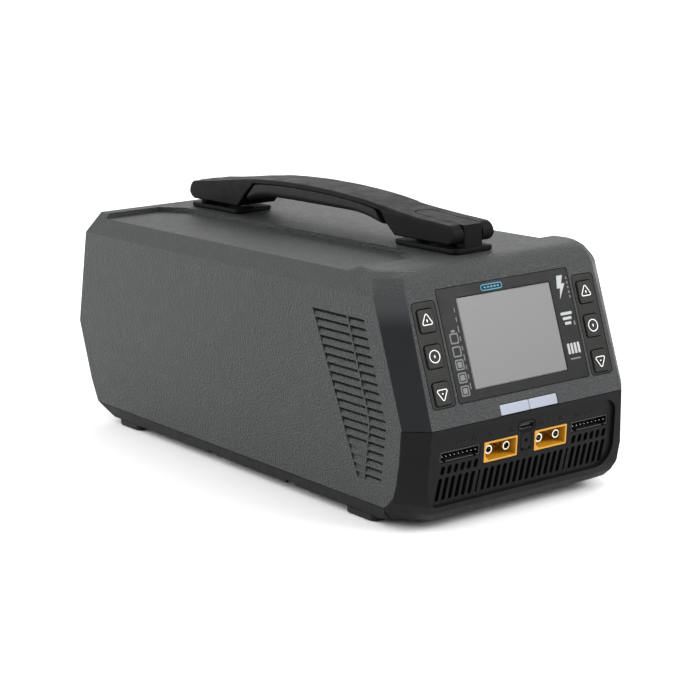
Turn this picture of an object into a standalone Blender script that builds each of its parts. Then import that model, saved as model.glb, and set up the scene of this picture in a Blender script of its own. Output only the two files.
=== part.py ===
"""Balance battery charger: a bench charger in a slanted-front case with a carrying handle."""
import math

import bmesh
import bpy
from mathutils import Matrix, Vector

MM = 0.001
GAP = 0.3 * MM                       # clearance between neighbouring solids

# Case. Depth y runs back from the seam between shell and bezel, height z from the table.
LENGTH = 322.6 * MM                  # front seam to the rearmost ridge
HALF_WIDTH = 68.7 * MM
SEAM_Z = 51.1 * MM                   # where the grey shell meets the black bezel
SLOPE_TILT = math.radians(17.57)     # upper face, leaning back from upright
LOWER_TILT = math.radians(5.9)       # lower face, leaning back towards its foot
PAN_Z = 3.7 * MM                     # underside of the case, standing on its feet
SIDE_LOW_Z = 10.3 * MM               # lower edge of the side panels
CREASE_Z = 110.9 * MM                # where the sides turn in towards the roof
TOP_Z = 121.8 * MM
TOP_HALF = 59.4 * MM
BROW_RADIUS = 13.0 * MM              # round between the upper face and the roof
CORNER_RUN = (9.7 * MM, 10.2 * MM)   # front corner chamfer, across and back
REAR_RIDGE_Z = 56.9 * MM             # the rear rim stands out furthest here
REAR_CREASE_Y = 307.85 * MM
REAR_LOW_Y = 308.3 * MM
REAR_PAN_Y = 292.0 * MM
WALL = 2.7 * MM
ROOF = 5.4 * MM
FLOOR = 2.6 * MM
CHANNEL_DEPTH = 2.8 * MM             # the two long hollows in the roof

# Front of the charger
WINDOW = (80.8 * MM, 53.9 * MM, 36.8 * MM)       # width, height, centre up the slope
SCREEN = (57.4 * MM, 43.4 * MM, 36.5 * MM)
SCREEN_X = -0.75 * MM
STRIP = (13.5 * MM, 49.8 * MM, 34.4 * MM)        # key strips beside the window
STRIP_X = 49.1 * MM
KEY = (9.4 * MM, 11.0 * MM)
KEY_STATIONS = (50.4 * MM, 33.6 * MM, 16.1 * MM)
KEY_TRAVEL = 0.6 * MM
KEY_PROUD = 0.7 * MM
LIGHT_BAR = (35.2 * MM, 5.0 * MM, 2.8 * MM)
PANEL_T = 2.4 * MM
RECESS = (-57.3 * MM, 55.8 * MM, 3.6 * MM, 38.2 * MM)   # left, right, top and bottom
RECESS_DEPTH = 1.8 * MM
POWER_SOCKET = (20.4 * MM, 10.1 * MM, 18.0 * MM)
POWER_SOCKET_X = 15.6 * MM
POWER_SOCKET_Q = 17.2 * MM
PIN_PITCH = 10.9 * MM
PIN_RADIUS = 2.25 * MM
BALANCE = (23.7 * MM, 4.9 * MM, 9.0 * MM)
BALANCE_X = 40.5 * MM
BALANCE_Q = 14.7 * MM
USB = (10.6 * MM, 4.3 * MM, 8.0 * MM, 8.2 * MM)
INSERT = (6.3 * MM, 8.8 * MM, 6.0 * MM, 15.9 * MM)
GRILLE_FIRST = -52.5 * MM
GRILLE_PITCH = 3.92 * MM
GRILLE_LONG = (24.8 * MM, 35.9 * MM)
GRILLE_SHORT = (19.1 * MM, 23.3 * MM)
GRILLE_SLOT = 2.3 * MM
GRILLE_THIN = 1.2 * MM
GRILLE_LEAN = math.radians(11.5)

# Side louvres
LOUVRE_ROWS = 19
LOUVRE_TOP = 99.4 * MM
LOUVRE_PITCH = 4.15 * MM
LOUVRE_HEIGHT = 2.5 * MM
LOUVRE_LEAN = 0.306                  # the columns lean back with height
LOUVRE_KNEE = 50.5 * MM              # below here the front column turns back
LOUVRE_KNEE_LEAN = 0.2
LOUVRE_FRONT_Y = 36.9 * MM           # front and rear edges of the grille at its top
LOUVRE_REAR_Y = 79.0 * MM
LOUVRE_REAR_LEAN = 0.42
LOUVRE_COLUMN = 13.0 * MM            # width of the front column
LOUVRE_RIB = 2.8 * MM                # web between the columns
LOUVRE_SHORTEST = 3 * MM

# Handle
HANDLE_MID_Y = LENGTH / 2
HANDLE_REACH = 121.4 * MM            # half the length of the grip
GRIP_HALF = 12.8 * MM
ARM_LENGTH = 50.0 * MM
ARM_LOW_Z = 127.2 * MM
GRIP_END_Z = 136.2 * MM
GRIP_TOP_Z = 144.8 * MM
GRIP_SKIN = 3.2 * MM
INSERT_LOW_Z = 134.9 * MM
POST_HALF = 5.7 * MM
PLATE = (24.0 * MM, 50.0 * MM, 2.5 * MM)

# Inside: widths, lengths and heights of the stand-ins for the electronics
BOARD_T = 1.6 * MM
BOARD_Z = 15 * MM
MAIN_BOARD = (122 * MM, 150 * MM)
MAIN_BOARD_Y = 120 * MM
SUPPLY_BOARD = (122 * MM, 84 * MM)
SUPPLY_BOARD_Y = 240 * MM
OUTPUT_BOARD = (104 * MM, 30 * MM)
OUTPUT_BOARD_PLACE = (0, 26 * MM, 33 * MM)
HEAT_SINK = (30 * MM, 110 * MM, 42 * MM)
HEAT_SINK_PLACE = (36 * MM, 125 * MM)
FINS = 7
CAPACITOR = (11 * MM, 34 * MM)       # radius and height
CAPACITOR_PLACE = (42 * MM, 214 * MM)
TRANSFORMER = (40 * MM, 36 * MM, 32 * MM)
TRANSFORMER_Y = 224 * MM
RING = (12 * MM, 5 * MM)             # radius of the wound ring, and of its section
RING_Y = 175 * MM
ON_BOARD = BOARD_Z + BOARD_T / 2 + 0.4 * MM

# Rear
PANEL_Y = 296.5 * MM
FAN_SIZE = 50.0 * MM
FAN_DEPTH = 15.0 * MM
FAN_X = 31.0 * MM
FAN_Z = 84.0 * MM
ROTOR_RADIUS = 22.5 * MM
BLADES = 7
FAN_SLOTS = 9
FAN_SLOT_PITCH = 5.0 * MM
FAN_SLOT = 2.8 * MM
HUB_RADIUS = 10.0 * MM
BLADE = (13.0 * MM, 1.2 * MM, 11.0 * MM)
BLADE_MID = 15.5 * MM
BLADE_PITCH = math.radians(38)
INLET_BODY = (27.0 * MM, 24.0 * MM, 19.4 * MM)
INLET_FLANGE = (33.0 * MM, 2.0 * MM, 24.0 * MM)
INLET_CAVITY = (24.2 * MM, 16.4 * MM)
INLET_BLADE = (2.0 * MM, 18.0 * MM, 4.0 * MM)
INLET_BLADES = ((-7 * MM, -2 * MM), (0, 2 * MM), (7 * MM, -2 * MM))
INLET_X = -40.0 * MM
REAR_ROW_Z = 34.0 * MM
ROCKER_X = -4.0 * MM
ROCKER = (13.0 * MM, 19.0 * MM)
ROCKER_SWING = math.radians(10)
ROCKER_BODY = 14.0 * MM
ROCKER_FLANGE = (16.0 * MM, 1.2 * MM, 22.0 * MM)
ROCKER_WALL = 1.2 * MM
DC_X = 38.0 * MM

GREY = (0.112, 0.115, 0.117)
BLACK = (0.022, 0.022, 0.023)
SOFT_BLACK = (0.012, 0.012, 0.012)
TINT = (0.05, 0.05, 0.052)
AMBER = (0.62, 0.26, 0.012)
SILVER = (0.7, 0.7, 0.68)
GREEN = (0.01, 0.09, 0.03)
COPPER = (0.45, 0.18, 0.06)


def clear_scene():
    for item in list(bpy.data.objects):
        bpy.data.objects.remove(item, do_unlink=True)


def collection(name):
    group = bpy.data.collections.new(name)
    bpy.context.scene.collection.children.link(group)
    return group


clear_scene()
PARTS = collection("balance_battery_charger")
CUTTERS = collection("cutters")


def finish(name, colour, roughness=0.55, metallic=0.0):
    material = bpy.data.materials.get(name)
    if material is None:
        material = bpy.data.materials.new(name)
        material.use_nodes = True
        shader = material.node_tree.nodes["Principled BSDF"]
        shader.inputs["Base Color"].default_value = (*colour, 1.0)
        shader.inputs["Roughness"].default_value = roughness
        shader.inputs["Metallic"].default_value = metallic
    return material


def empty(name, location, rotation=(0, 0, 0), parent=None):
    item = bpy.data.objects.new(name, None)
    item.location = location
    item.rotation_euler = rotation
    item.parent = parent
    PARTS.objects.link(item)
    return item


charger = empty("charger_frame", (0, -LENGTH / 2, 0))
# In both front frames y goes into the case. z runs up the upper face, and -z down the lower one.
slope = empty("slope_frame", (0, 0, SEAM_Z), (-SLOPE_TILT, 0, 0), charger)
lower = empty("lower_frame", (0, 0, SEAM_Z), (LOWER_TILT, 0, 0), charger)


def add(name, mesh, parent=charger, location=(0, 0, 0), rotation=(0, 0, 0), material=None, cutter=False):
    item = bpy.data.objects.new(name, mesh)
    item.parent = parent
    item.location = location
    item.rotation_euler = rotation
    (CUTTERS if cutter else PARTS).objects.link(item)
    if material:
        item.data.materials.clear()
        item.data.materials.append(material)
    if cutter:
        item.hide_render = True
        item.display_type = "WIRE"
    return item


def mesh_from(build):
    mesh = bpy.data.meshes.new("solid")
    work = bmesh.new()
    build(work)
    bmesh.ops.recalc_face_normals(work, faces=work.faces)
    work.to_mesh(mesh)
    work.free()
    return mesh


def put_box(work, size, centre, turn=None):
    place = Matrix.Translation(centre)
    if turn is not None:
        place = place @ turn
    place = place @ Matrix.Diagonal((*size, 1.0))
    return bmesh.ops.create_cube(work, size=1.0, matrix=place)["verts"]


def put_cylinder(work, radius, depth, centre, axis="Y", sides=24):
    turn = Matrix.Rotation(-math.pi / 2, 4, "X") if axis == "Y" else Matrix()
    bmesh.ops.create_cone(work, cap_ends=True, segments=sides, radius1=radius, radius2=radius, depth=depth,
                          matrix=Matrix.Translation(centre) @ turn)


def put_prism(work, outline, low, high, axis="Z"):
    """Extrude a flat outline between two heights along an axis."""
    def point(a, b, height):
        return {"X": (height, a, b), "Y": (a, height, b), "Z": (a, b, height)}[axis]
    bottom = [work.verts.new(point(a, b, low)) for a, b in outline]
    top = [work.verts.new(point(a, b, high)) for a, b in outline]
    work.faces.new(list(reversed(bottom)))
    work.faces.new(top)
    for i in range(len(outline)):
        j = (i + 1) % len(outline)
        work.faces.new((bottom[i], bottom[j], top[j], top[i]))


def box(name, size, centre, material, parent=charger, cutter=False, bevel=0.0):
    item = add(name, mesh_from(lambda work: put_box(work, size, (0, 0, 0))), parent, centre, (0, 0, 0), material, cutter)
    if bevel:
        soften(item, bevel)
    return item


def cylinder(name, radius, depth, centre, material, axis="Y", parent=charger, sides=24, cutter=False):
    item = add(name, mesh_from(lambda work: put_cylinder(work, radius, depth, (0, 0, 0), axis, sides)),
               parent, centre, (0, 0, 0), material, cutter)
    round_shade(item)
    return item


def round_shade(item):
    item.data.shade_smooth()
    item.data.set_sharp_from_angle(angle=math.radians(35))


def soften(item, width, segments=1):
    modifier = item.modifiers.new("soften", "BEVEL")
    modifier.width = width
    modifier.segments = segments
    modifier.limit_method = "ANGLE"
    modifier.angle_limit = math.radians(40)


def boolean(item, other, operation="DIFFERENCE"):
    modifier = item.modifiers.new("boolean", "BOOLEAN")
    modifier.operation = operation
    modifier.solver = "EXACT"
    modifier.object = other


def round_outline(left, right, low, high, radii, steps=4):
    """Rectangle with its own radius at each corner: low left, low right, high right, high left."""
    corners = ((left, low, 180), (right, low, 270), (right, high, 0), (left, high, 90))
    points = []
    for (x, z, start), radius in zip(corners, radii):
        cx = x + radius if x == left else x - radius
        cz = z + radius if z == low else z - radius
        for step in range(steps + 1):
            angle = math.radians(start + 90 * step / steps)
            points.append((cx + radius * math.cos(angle), cz + radius * math.sin(angle)))
    return points


# ------------------------------------------------------------------ case outline

def between(z, table):
    for (low_z, low), (high_z, high) in zip(table, table[1:]):
        if z <= high_z:
            return low + (high - low) * (z - low_z) / (high_z - low_z)
    return table[-1][1]


def brow_points(count=4):
    """The round from the upper face into the roof, as (depth, height)."""
    centre_z = TOP_Z - BROW_RADIUS
    centre_y = (centre_z - SEAM_Z) * math.tan(SLOPE_TILT) + BROW_RADIUS / math.cos(SLOPE_TILT)
    points = []
    for step in range(count + 1):
        angle = math.pi - SLOPE_TILT + (SLOPE_TILT - math.pi / 2) * step / count
        points.append((centre_y + BROW_RADIUS * math.cos(angle), centre_z + BROW_RADIUS * math.sin(angle)))
    return points


BROW = brow_points()
WIDTH_AT = [(PAN_Z, 66.0 * MM), (SIDE_LOW_Z, 67.5 * MM), (24 * MM, HALF_WIDTH), (CREASE_Z, HALF_WIDTH),
            (TOP_Z, TOP_HALF)]
FRONT_AT = [(PAN_Z, 14.4 * MM), (6.5 * MM, 8.4 * MM), (9.5 * MM, 5.7 * MM), (13.5 * MM, 3.9 * MM), (SEAM_Z, 0.0)]
FRONT_AT += [(z, y) for y, z in BROW]
CORNER_AT = [(PAN_Z, 25.5 * MM), (SIDE_LOW_Z, 21.5 * MM), (15 * MM, 18.5 * MM), (24 * MM, 15.2 * MM),
             (36 * MM, 12.2 * MM), (SEAM_Z, CORNER_RUN[1])]
CORNER_AT += [(BROW[0][1], BROW[0][0] + CORNER_RUN[1]), (TOP_Z, BROW[-1][0] + 3 * MM)]
FACE_HALF_AT = [(PAN_Z, 55.5 * MM), (6.5 * MM, 58.5 * MM), (SIDE_LOW_Z, 60.6 * MM), (24 * MM, 60.8 * MM),
                (SEAM_Z, HALF_WIDTH - CORNER_RUN[0]), (BROW[0][1], HALF_WIDTH - CORNER_RUN[0] - 1.4 * MM),
                (TOP_Z, TOP_HALF - 3 * MM)]
REAR_AT = [(PAN_Z, REAR_PAN_Y), (SIDE_LOW_Z, REAR_LOW_Y), (REAR_RIDGE_Z, LENGTH), (CREASE_Z, REAR_CREASE_Y),
           (TOP_Z, 304.9 * MM)]


def section(z, shrink=0.0, rear=None):
    """Plan outline of the case at a height, counter-clockwise, moved inward by shrink."""
    wide = between(z, WIDTH_AT)
    face = between(z, FACE_HALF_AT)
    front = between(z, FRONT_AT)
    corner = between(z, CORNER_AT)
    back = between(z, REAR_AT) if rear is None else rear
    outline = [Vector((-face, front)), Vector((face, front)), Vector((wide, corner)),
               Vector((wide, back)), Vector((-wide, back)), Vector((-wide, corner))]
    if not shrink:
        return outline
    lines = []
    for i, start in enumerate(outline):
        along = (outline[(i + 1) % 6] - start).normalized()
        inward = Vector((-along.y, along.x))
        lines.append((start + inward * shrink, along))
    result = []
    for i in range(6):
        (a, da), (b, db) = lines[i - 1], lines[i]
        cross = da.x * db.y - da.y * db.x
        reach = ((b - a).x * db.y - (b - a).y * db.x) / cross
        result.append(a + da * reach)
    return result


def loft(work, heights, shrink=0.0, rear=None):
    rings = [[work.verts.new((p.x, p.y, z)) for p in section(z, shrink, rear)] for z in heights]
    work.faces.new(list(reversed(rings[0])))
    work.faces.new(rings[-1])
    for below, above in zip(rings, rings[1:]):
        for i in range(6):
            j = (i + 1) % 6
            work.faces.new((below[i], below[j], above[j], above[i]))


CASE_HEIGHTS = sorted({z for table in (WIDTH_AT, FRONT_AT, CORNER_AT, FACE_HALF_AT, REAR_AT) for z, value in table})


def cavity_heights(clear=0.0):
    low = PAN_Z + FLOOR + clear
    high = TOP_Z - ROOF - clear
    return [low] + [z for z in CASE_HEIGHTS if low < z < high] + [high]


grey = finish("grey_shell", GREY, 0.62)
black = finish("black_plastic", BLACK, 0.55)
rubber = finish("rubber", SOFT_BLACK, 0.8)
board_green = finish("circuit_board", GREEN, 0.5)
steel = finish("plated_metal", SILVER, 0.3, 1.0)
aluminium = finish("aluminium", (0.62, 0.63, 0.64), 0.4, 1.0)

cavity = add("cavity_cutter", mesh_from(lambda work: loft(work, cavity_heights(), WALL, LENGTH + 40 * MM)),
             cutter=True)


def bezel_outline(clear):
    """Side view of the bezel's zone: up the parting line, which follows the front corner."""
    points = [(-5 * MM, SEAM_Z - clear)]
    for z in (SEAM_Z - clear, 36 * MM, 24 * MM, 17 * MM):
        points.append((between(z, CORNER_AT) + 0.7 * MM - clear, z))
    points += [(22.5 * MM - clear, 12.5 * MM - clear), (27.5 * MM - clear, SIDE_LOW_Z - clear),
               (27.5 * MM - clear, -2 * MM), (-5 * MM, -2 * MM)]
    return points


REACH = 90 * MM
bezel_zone = add("bezel_zone", mesh_from(lambda work: put_prism(work, bezel_outline(0), -REACH, REACH, "X")),
                 cutter=True)
bezel_keep = add("bezel_keep", mesh_from(lambda work: put_prism(work, bezel_outline(GAP), -REACH, REACH, "X")),
                 cutter=True)
pan_zone = box("pan_zone", (2 * REACH, 400 * MM, SIDE_LOW_Z + 2 * MM),
               (0, 227.0 * MM, (SIDE_LOW_Z - 2 * MM) / 2), None, cutter=True)
pan_keep = box("pan_keep", (2 * REACH, 400 * MM, SIDE_LOW_Z + 2 * MM),
               (0, 227.8 * MM, (SIDE_LOW_Z - 2 * MM) / 2 - GAP), None, cutter=True)


# ------------------------------------------------------------------ grey shell

def slope_openings(work):
    """Openings in the upper face, in the slope frame."""
    put_box(work, (WINDOW[0] + 2 * GAP, 16 * MM, WINDOW[1] + 2 * GAP), (0, 0, WINDOW[2]))
    for side in (-1, 1):
        put_box(work, (STRIP[0] + 2 * GAP, 16 * MM, STRIP[1] + 2 * GAP), (side * STRIP_X, 0, STRIP[2]))
    put_box(work, (LIGHT_BAR[0] + 2 * GAP, 16 * MM, LIGHT_BAR[1] + 4 * MM),
            (0, 0, LIGHT_BAR[2] + LIGHT_BAR[1] / 2 + GAP - (LIGHT_BAR[1] + 4 * MM) / 2))


def channel(work, side):
    """One long hollow in the roof: open at the side, ramped at the front."""
    low = [(17.5, 76), (27, 58.5), (80, 58.5), (80, 295.5), (27, 295.5), (17.5, 279)]
    high = [(17.5, 76), (27, 42), (80, 42), (80, 295.5), (27, 295.5), (17.5, 279)]
    rings = []
    for outline, z in ((low, TOP_Z - CHANNEL_DEPTH), (high, TOP_Z + 1.8 * MM)):
        rings.append([work.verts.new((side * x * MM, y * MM, z)) for x, y in outline])
    work.faces.new(rings[0])
    work.faces.new(rings[1])
    for i in range(6):
        j = (i + 1) % 6
        work.faces.new((rings[0][i], rings[0][j], rings[1][j]))      # triangles, as the ramp's end isn't flat
        work.faces.new((rings[0][i], rings[1][j], rings[1][i]))


def louvre_edges(z):
    """Depths of the two columns' edges at a height: front column, then rear column."""
    down = LOUVRE_TOP - z
    lead = LOUVRE_FRONT_Y - LOUVRE_LEAN * min(down, LOUVRE_TOP - LOUVRE_KNEE)
    lead += max(0.0, LOUVRE_KNEE - z) * LOUVRE_KNEE_LEAN
    inner = lead + LOUVRE_COLUMN
    return lead, inner, inner + LOUVRE_RIB, LOUVRE_REAR_Y - LOUVRE_REAR_LEAN * down


def louvres(work, side):
    for row in range(LOUVRE_ROWS):
        top = LOUVRE_TOP - row * LOUVRE_PITCH
        low = top - LOUVRE_HEIGHT
        high_edges, low_edges = louvre_edges(top), louvre_edges(low)
        for a, b in ((0, 1), (2, 3)):
            if low_edges[b] - low_edges[a] < LOUVRE_SHORTEST:
                continue
            outline = [(low_edges[a], low), (low_edges[b], low), (high_edges[b], top), (high_edges[a], top)]
            put_prism(work, outline, side * 60 * MM, side * 75 * MM, "X")


def bracket_holes(work, radius):
    for y in SCREW_STATIONS:
        put_cylinder(work, radius, 16 * MM, (0, y, TOP_Z), "Z", 12)


SCREW_STATIONS = [HANDLE_MID_Y + end * (HANDLE_REACH - inset) for end in (-1, 1) for inset in (16 * MM, 40 * MM)]


def shell_cuts():
    yield add("slope_cutter", mesh_from(slope_openings), slope, cutter=True)
    for side, word in ((-1, "left"), (1, "right")):
        yield add("channel_cutter_" + word, mesh_from(lambda work: channel(work, side)), cutter=True)
        yield add("louvre_cutter_" + word, mesh_from(lambda work: louvres(work, side)), cutter=True)
    yield add("bracket_hole_cutter", mesh_from(lambda work: bracket_holes(work, 2.0 * MM)), cutter=True)


def make_shell():
    shell = add("main_shell", mesh_from(lambda work: loft(work, CASE_HEIGHTS)), material=grey)
    boolean(shell, cavity)
    boolean(shell, bezel_zone)
    boolean(shell, pan_zone)
    for cutter in shell_cuts():
        boolean(shell, cutter)


# ------------------------------------------------------------------ bezel and pan

def slot(work, x, top, bottom, width):
    """A slot of the front grille, leaning over, in the lower frame."""
    height = bottom - top
    turn = Matrix.Rotation(GRILLE_LEAN, 4, "Y")
    put_box(work, (width, 30 * MM, height), (x, 8 * MM, -(top + bottom) / 2), turn)


def grille(work):
    for i in range(27):
        thin = i in (6, 20)
        slot(work, GRILLE_FIRST + i * GRILLE_PITCH, *GRILLE_LONG, GRILLE_THIN if thin else GRILLE_SLOT)
    for side in (-1, 1):
        for i in range(6):
            slot(work, side * BALANCE_X + (i - 2.5) * 3.95 * MM, *GRILLE_SHORT, GRILLE_SLOT)


def socket_openings(work):
    for side in (-1, 1):
        put_box(work, (POWER_SOCKET[0] + 2 * GAP, 30 * MM, POWER_SOCKET[1] + 2 * GAP),
                (side * POWER_SOCKET_X, 0, -POWER_SOCKET_Q))
        put_box(work, (BALANCE[0] + 2 * GAP, 30 * MM, BALANCE[1] + 2 * GAP), (side * BALANCE_X, 0, -BALANCE_Q))
    put_box(work, (USB[0] + 2 * GAP, 30 * MM, USB[1] + 2 * GAP), (0, 0, -USB[3]))
    put_box(work, (INSERT[0] + 2 * GAP, 30 * MM, INSERT[1] + 2 * GAP), (0, 0, -INSERT[3]))


def recess(work):
    left, right, top, bottom = RECESS
    outline = round_outline(left, right, -bottom, -top, (3 * MM, 12 * MM, 7 * MM, 3 * MM))
    put_prism(work, outline, -10 * MM, RECESS_DEPTH, "Y")


def make_bezel():
    bezel = add("front_bezel", mesh_from(lambda work: loft(work, CASE_HEIGHTS)), material=black)
    boolean(bezel, cavity)
    boolean(bezel, bezel_keep, "INTERSECT")
    for name, build in (("recess_cutter", recess), ("socket_cutter", socket_openings), ("grille_cutter", grille)):
        boolean(bezel, add(name, mesh_from(build), lower, cutter=True))


def make_pan():
    pan = add("bottom_pan", mesh_from(lambda work: loft(work, CASE_HEIGHTS)), material=black)
    boolean(pan, cavity)
    boolean(pan, pan_keep, "INTERSECT")
    for end, y0, y1 in (("front", 38 * MM, 63 * MM), ("rear", 264 * MM, 288 * MM)):
        for side, word in ((-1, "left"), (1, "right")):
            box(f"foot_{end}_{word}", (13 * MM, y1 - y0, PAN_Z - GAP), (side * 59.3 * MM, (y0 + y1) / 2,
                (PAN_Z - GAP) / 2), rubber, bevel=0.8 * MM)


# ------------------------------------------------------------------ display and keys

def make_display():
    tint = finish("tinted_window", TINT, 0.25)
    window = box("display_window", (WINDOW[0], PANEL_T, WINDOW[1]), (0, PANEL_T / 2, WINDOW[2]), tint, slope)
    opening = box("screen_cutter", (SCREEN[0] + 2 * GAP, 12 * MM, SCREEN[1] + 2 * GAP), (SCREEN_X, 0, SCREEN[2]),
                  None, slope, cutter=True)
    boolean(window, opening)
    box("display_screen", (SCREEN[0], PANEL_T, SCREEN[1]), (SCREEN_X, PANEL_T / 2 + 0.1 * MM, SCREEN[2]),
        finish("screen", (0.36, 0.36, 0.36), 0.2), slope)
    box("display_board", (78 * MM, 1.6 * MM, 52 * MM), (0, 4.6 * MM, WINDOW[2]), board_green, slope)
    bar_depth = PANEL_T / 2
    box("light_bar", (LIGHT_BAR[0], bar_depth, LIGHT_BAR[1]), (0, bar_depth / 2, LIGHT_BAR[2]),
        finish("light_guide", (0.62, 0.66, 0.78), 0.4), slope)


def make_keys():
    for side, word in ((-1, "left"), (1, "right")):
        strip = box(f"key_strip_{word}", (STRIP[0], PANEL_T, STRIP[1]), (side * STRIP_X, PANEL_T / 2, STRIP[2]),
                    finish("key_strip", (0.05, 0.049, 0.046), 0.5), slope)

        def holes(work):
            for station in KEY_STATIONS:
                put_box(work, (KEY[0] + 2 * GAP, 12 * MM, KEY[1] + 2 * GAP), (0, 0, station))
        boolean(strip, add(f"key_hole_cutter_{word}", mesh_from(holes), slope, (side * STRIP_X, 0, 0), cutter=True))
        for number, station in enumerate(KEY_STATIONS, 1):
            depth = KEY_PROUD + 3.0 * MM
            key = add(f"key_{word}_{number}", mesh_from(lambda work: put_box(work, (KEY[0], depth, KEY[1]),
                      (0, depth / 2 - KEY_PROUD, 0))), slope, (side * STRIP_X, 0, station), material=finish(
                      "key_cap", (0.055, 0.054, 0.051), 0.5))
            soften(key, 0.4 * MM)

        board = box(f"key_board_{word}", (12.5 * MM, 1.6 * MM, 50 * MM), (side * STRIP_X, 7.4 * MM, STRIP[2]),
                    board_green, slope)
        for number, station in enumerate(KEY_STATIONS, 1):
            boolean(board, box(f"switch_{word}_{number}", (6 * MM, 2.4 * MM, 6 * MM),
                    (side * STRIP_X, 5.9 * MM, station), None, slope, cutter=True), "UNION")


# ------------------------------------------------------------------ sockets

def make_power_socket(name, parent, x, z, turn=0.0):
    """Two-pole power socket: an amber housing with a cavity, and two round pins."""
    wide, high, deep = POWER_SOCKET
    amber = finish("amber_nylon", AMBER, 0.4)
    frame = empty(name + "_frame", (x, 0 if parent is lower else PANEL_Y + WALL, z), (0, 0, turn), parent)
    front = RECESS_DEPTH if parent is lower else 0.0
    housing = box(name + "_housing", (wide, deep, high), (0, front + deep / 2, 0), amber, frame)
    boolean(housing, add(name + "_cavity_cutter", mesh_from(lambda work: put_box(work, (wide - 2.6 * MM, 24 * MM,
            high - 2.6 * MM), (0, front, 0))), frame, cutter=True))
    for side, word in ((-1, "a"), (1, "b")):
        boolean(housing, cylinder(f"{name}_pin_hole_{word}", PIN_RADIUS + GAP, 60 * MM, (side * PIN_PITCH / 2, 0, 0),
                                  None, parent=frame, sides=16, cutter=True))
        cylinder(f"{name}_pin_{word}", PIN_RADIUS, deep - 2.5 * MM, (side * PIN_PITCH / 2, front + deep / 2 + 1.25 * MM,
                 0), finish("pin_metal", SILVER, 0.25, 1.0), parent=frame, sides=16)


def make_balance_socket(word, side):
    wide, high, deep = BALANCE
    housing = box(f"balance_socket_{word}", (wide, deep, high), (side * BALANCE_X, RECESS_DEPTH - 0.4 * MM + deep / 2,
                  -BALANCE_Q), finish("socket_black", SOFT_BLACK, 0.45), lower)
    boolean(housing, box(f"balance_cavity_{word}", (wide - 1.8 * MM, 14 * MM, high - 1.6 * MM),
            (side * BALANCE_X, RECESS_DEPTH - 0.4 * MM, -BALANCE_Q), None, lower, cutter=True))


def make_sockets():
    for side, word in ((-1, "left"), (1, "right")):
        make_power_socket(f"output_{word}", lower, side * POWER_SOCKET_X, -POWER_SOCKET_Q)
        make_balance_socket(word, side)
    port = box("usb_port", (USB[0], USB[2], USB[1]), (0, RECESS_DEPTH + USB[2] / 2, -USB[3]), black, lower)
    boolean(port, box("usb_cutter", (8.4 * MM, 12 * MM, 2.6 * MM), (0, RECESS_DEPTH, -USB[3]), None, lower,
            cutter=True))
    insert = box("service_insert", (INSERT[0], INSERT[2], INSERT[1]), (0, RECESS_DEPTH + INSERT[2] / 2, -INSERT[3]),
                 black, lower)
    boolean(insert, cylinder("pinhole_cutter", 0.8 * MM, 8 * MM, (0, RECESS_DEPTH, -INSERT[3] + 0.3 * MM), None,
            parent=lower, sides=10, cutter=True))


# ------------------------------------------------------------------ inside

def finned(name, size, centre, fins):
    wide, long, high = size
    base = 4 * MM
    pitch = wide / (fins - 0.5)
    outline = [(-wide / 2, 0)]
    outline.append((wide / 2, 0))
    for i in reversed(range(fins)):
        left = -wide / 2 + i * pitch
        outline += [(left + pitch / 2, high), (left, high)]
        if i:
            outline += [(left, base), (left - pitch / 2, base)]
    curve_mesh = mesh_from(lambda work: put_prism(work, outline, -long / 2, long / 2, "Y"))
    add(name, curve_mesh, location=centre, material=aluminium)


def make_inside():
    box("main_board", (*MAIN_BOARD, BOARD_T), (0, MAIN_BOARD_Y, BOARD_Z), board_green)
    box("supply_board", (*SUPPLY_BOARD, BOARD_T), (0, SUPPLY_BOARD_Y, BOARD_Z), board_green)
    box("output_board", (OUTPUT_BOARD[0], BOARD_T, OUTPUT_BOARD[1]), OUTPUT_BOARD_PLACE, board_green)
    for side, word in ((-1, "left"), (1, "right")):
        finned(f"heat_sink_{word}", HEAT_SINK, (side * HEAT_SINK_PLACE[0], HEAT_SINK_PLACE[1], ON_BOARD), FINS)
        radius, high = CAPACITOR
        cylinder(f"capacitor_{word}", radius, high,
                 (side * CAPACITOR_PLACE[0], CAPACITOR_PLACE[1], ON_BOARD + high / 2),
                 finish("capacitor_sleeve", (0.02, 0.03, 0.05), 0.4), axis="Z")
    box("transformer", TRANSFORMER, (0, TRANSFORMER_Y, ON_BOARD + TRANSFORMER[2] / 2),
        finish("ferrite", (0.03, 0.03, 0.03), 0.6), bevel=1.5 * MM)

    def ring(work):
        outline = []
        for angle in range(0, 360, 60):
            turned = math.radians(angle)
            outline.append((RING[0] + RING[1] * math.cos(turned), RING[1] * math.sin(turned)))
        rings = []
        for step in range(16):
            turn = Matrix.Rotation(math.tau * step / 16, 4, "Z")
            rings.append([work.verts.new(turn @ Vector((x, 0, z))) for x, z in outline])
        for a, b in zip(rings, rings[1:] + rings[:1]):
            for i in range(6):
                j = (i + 1) % 6
                work.faces.new((a[i], a[j], b[j], b[i]))
    inductor = add("inductor", mesh_from(ring), location=(0, RING_Y, ON_BOARD + RING[1] + 0.8 * MM),
                   material=finish("copper_winding", COPPER, 0.35, 1.0))
    round_shade(inductor)


# ------------------------------------------------------------------ rear panel

def fan_slots(work):
    for side in (-1, 1):
        for i in range(FAN_SLOTS):
            rise = (i - (FAN_SLOTS - 1) / 2) * FAN_SLOT_PITCH
            half = math.sqrt(ROTOR_RADIUS ** 2 - rise ** 2) + 1.0 * MM
            put_box(work, (2 * half, 20 * MM, FAN_SLOT), (side * FAN_X, PANEL_Y, FAN_Z + rise))


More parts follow.
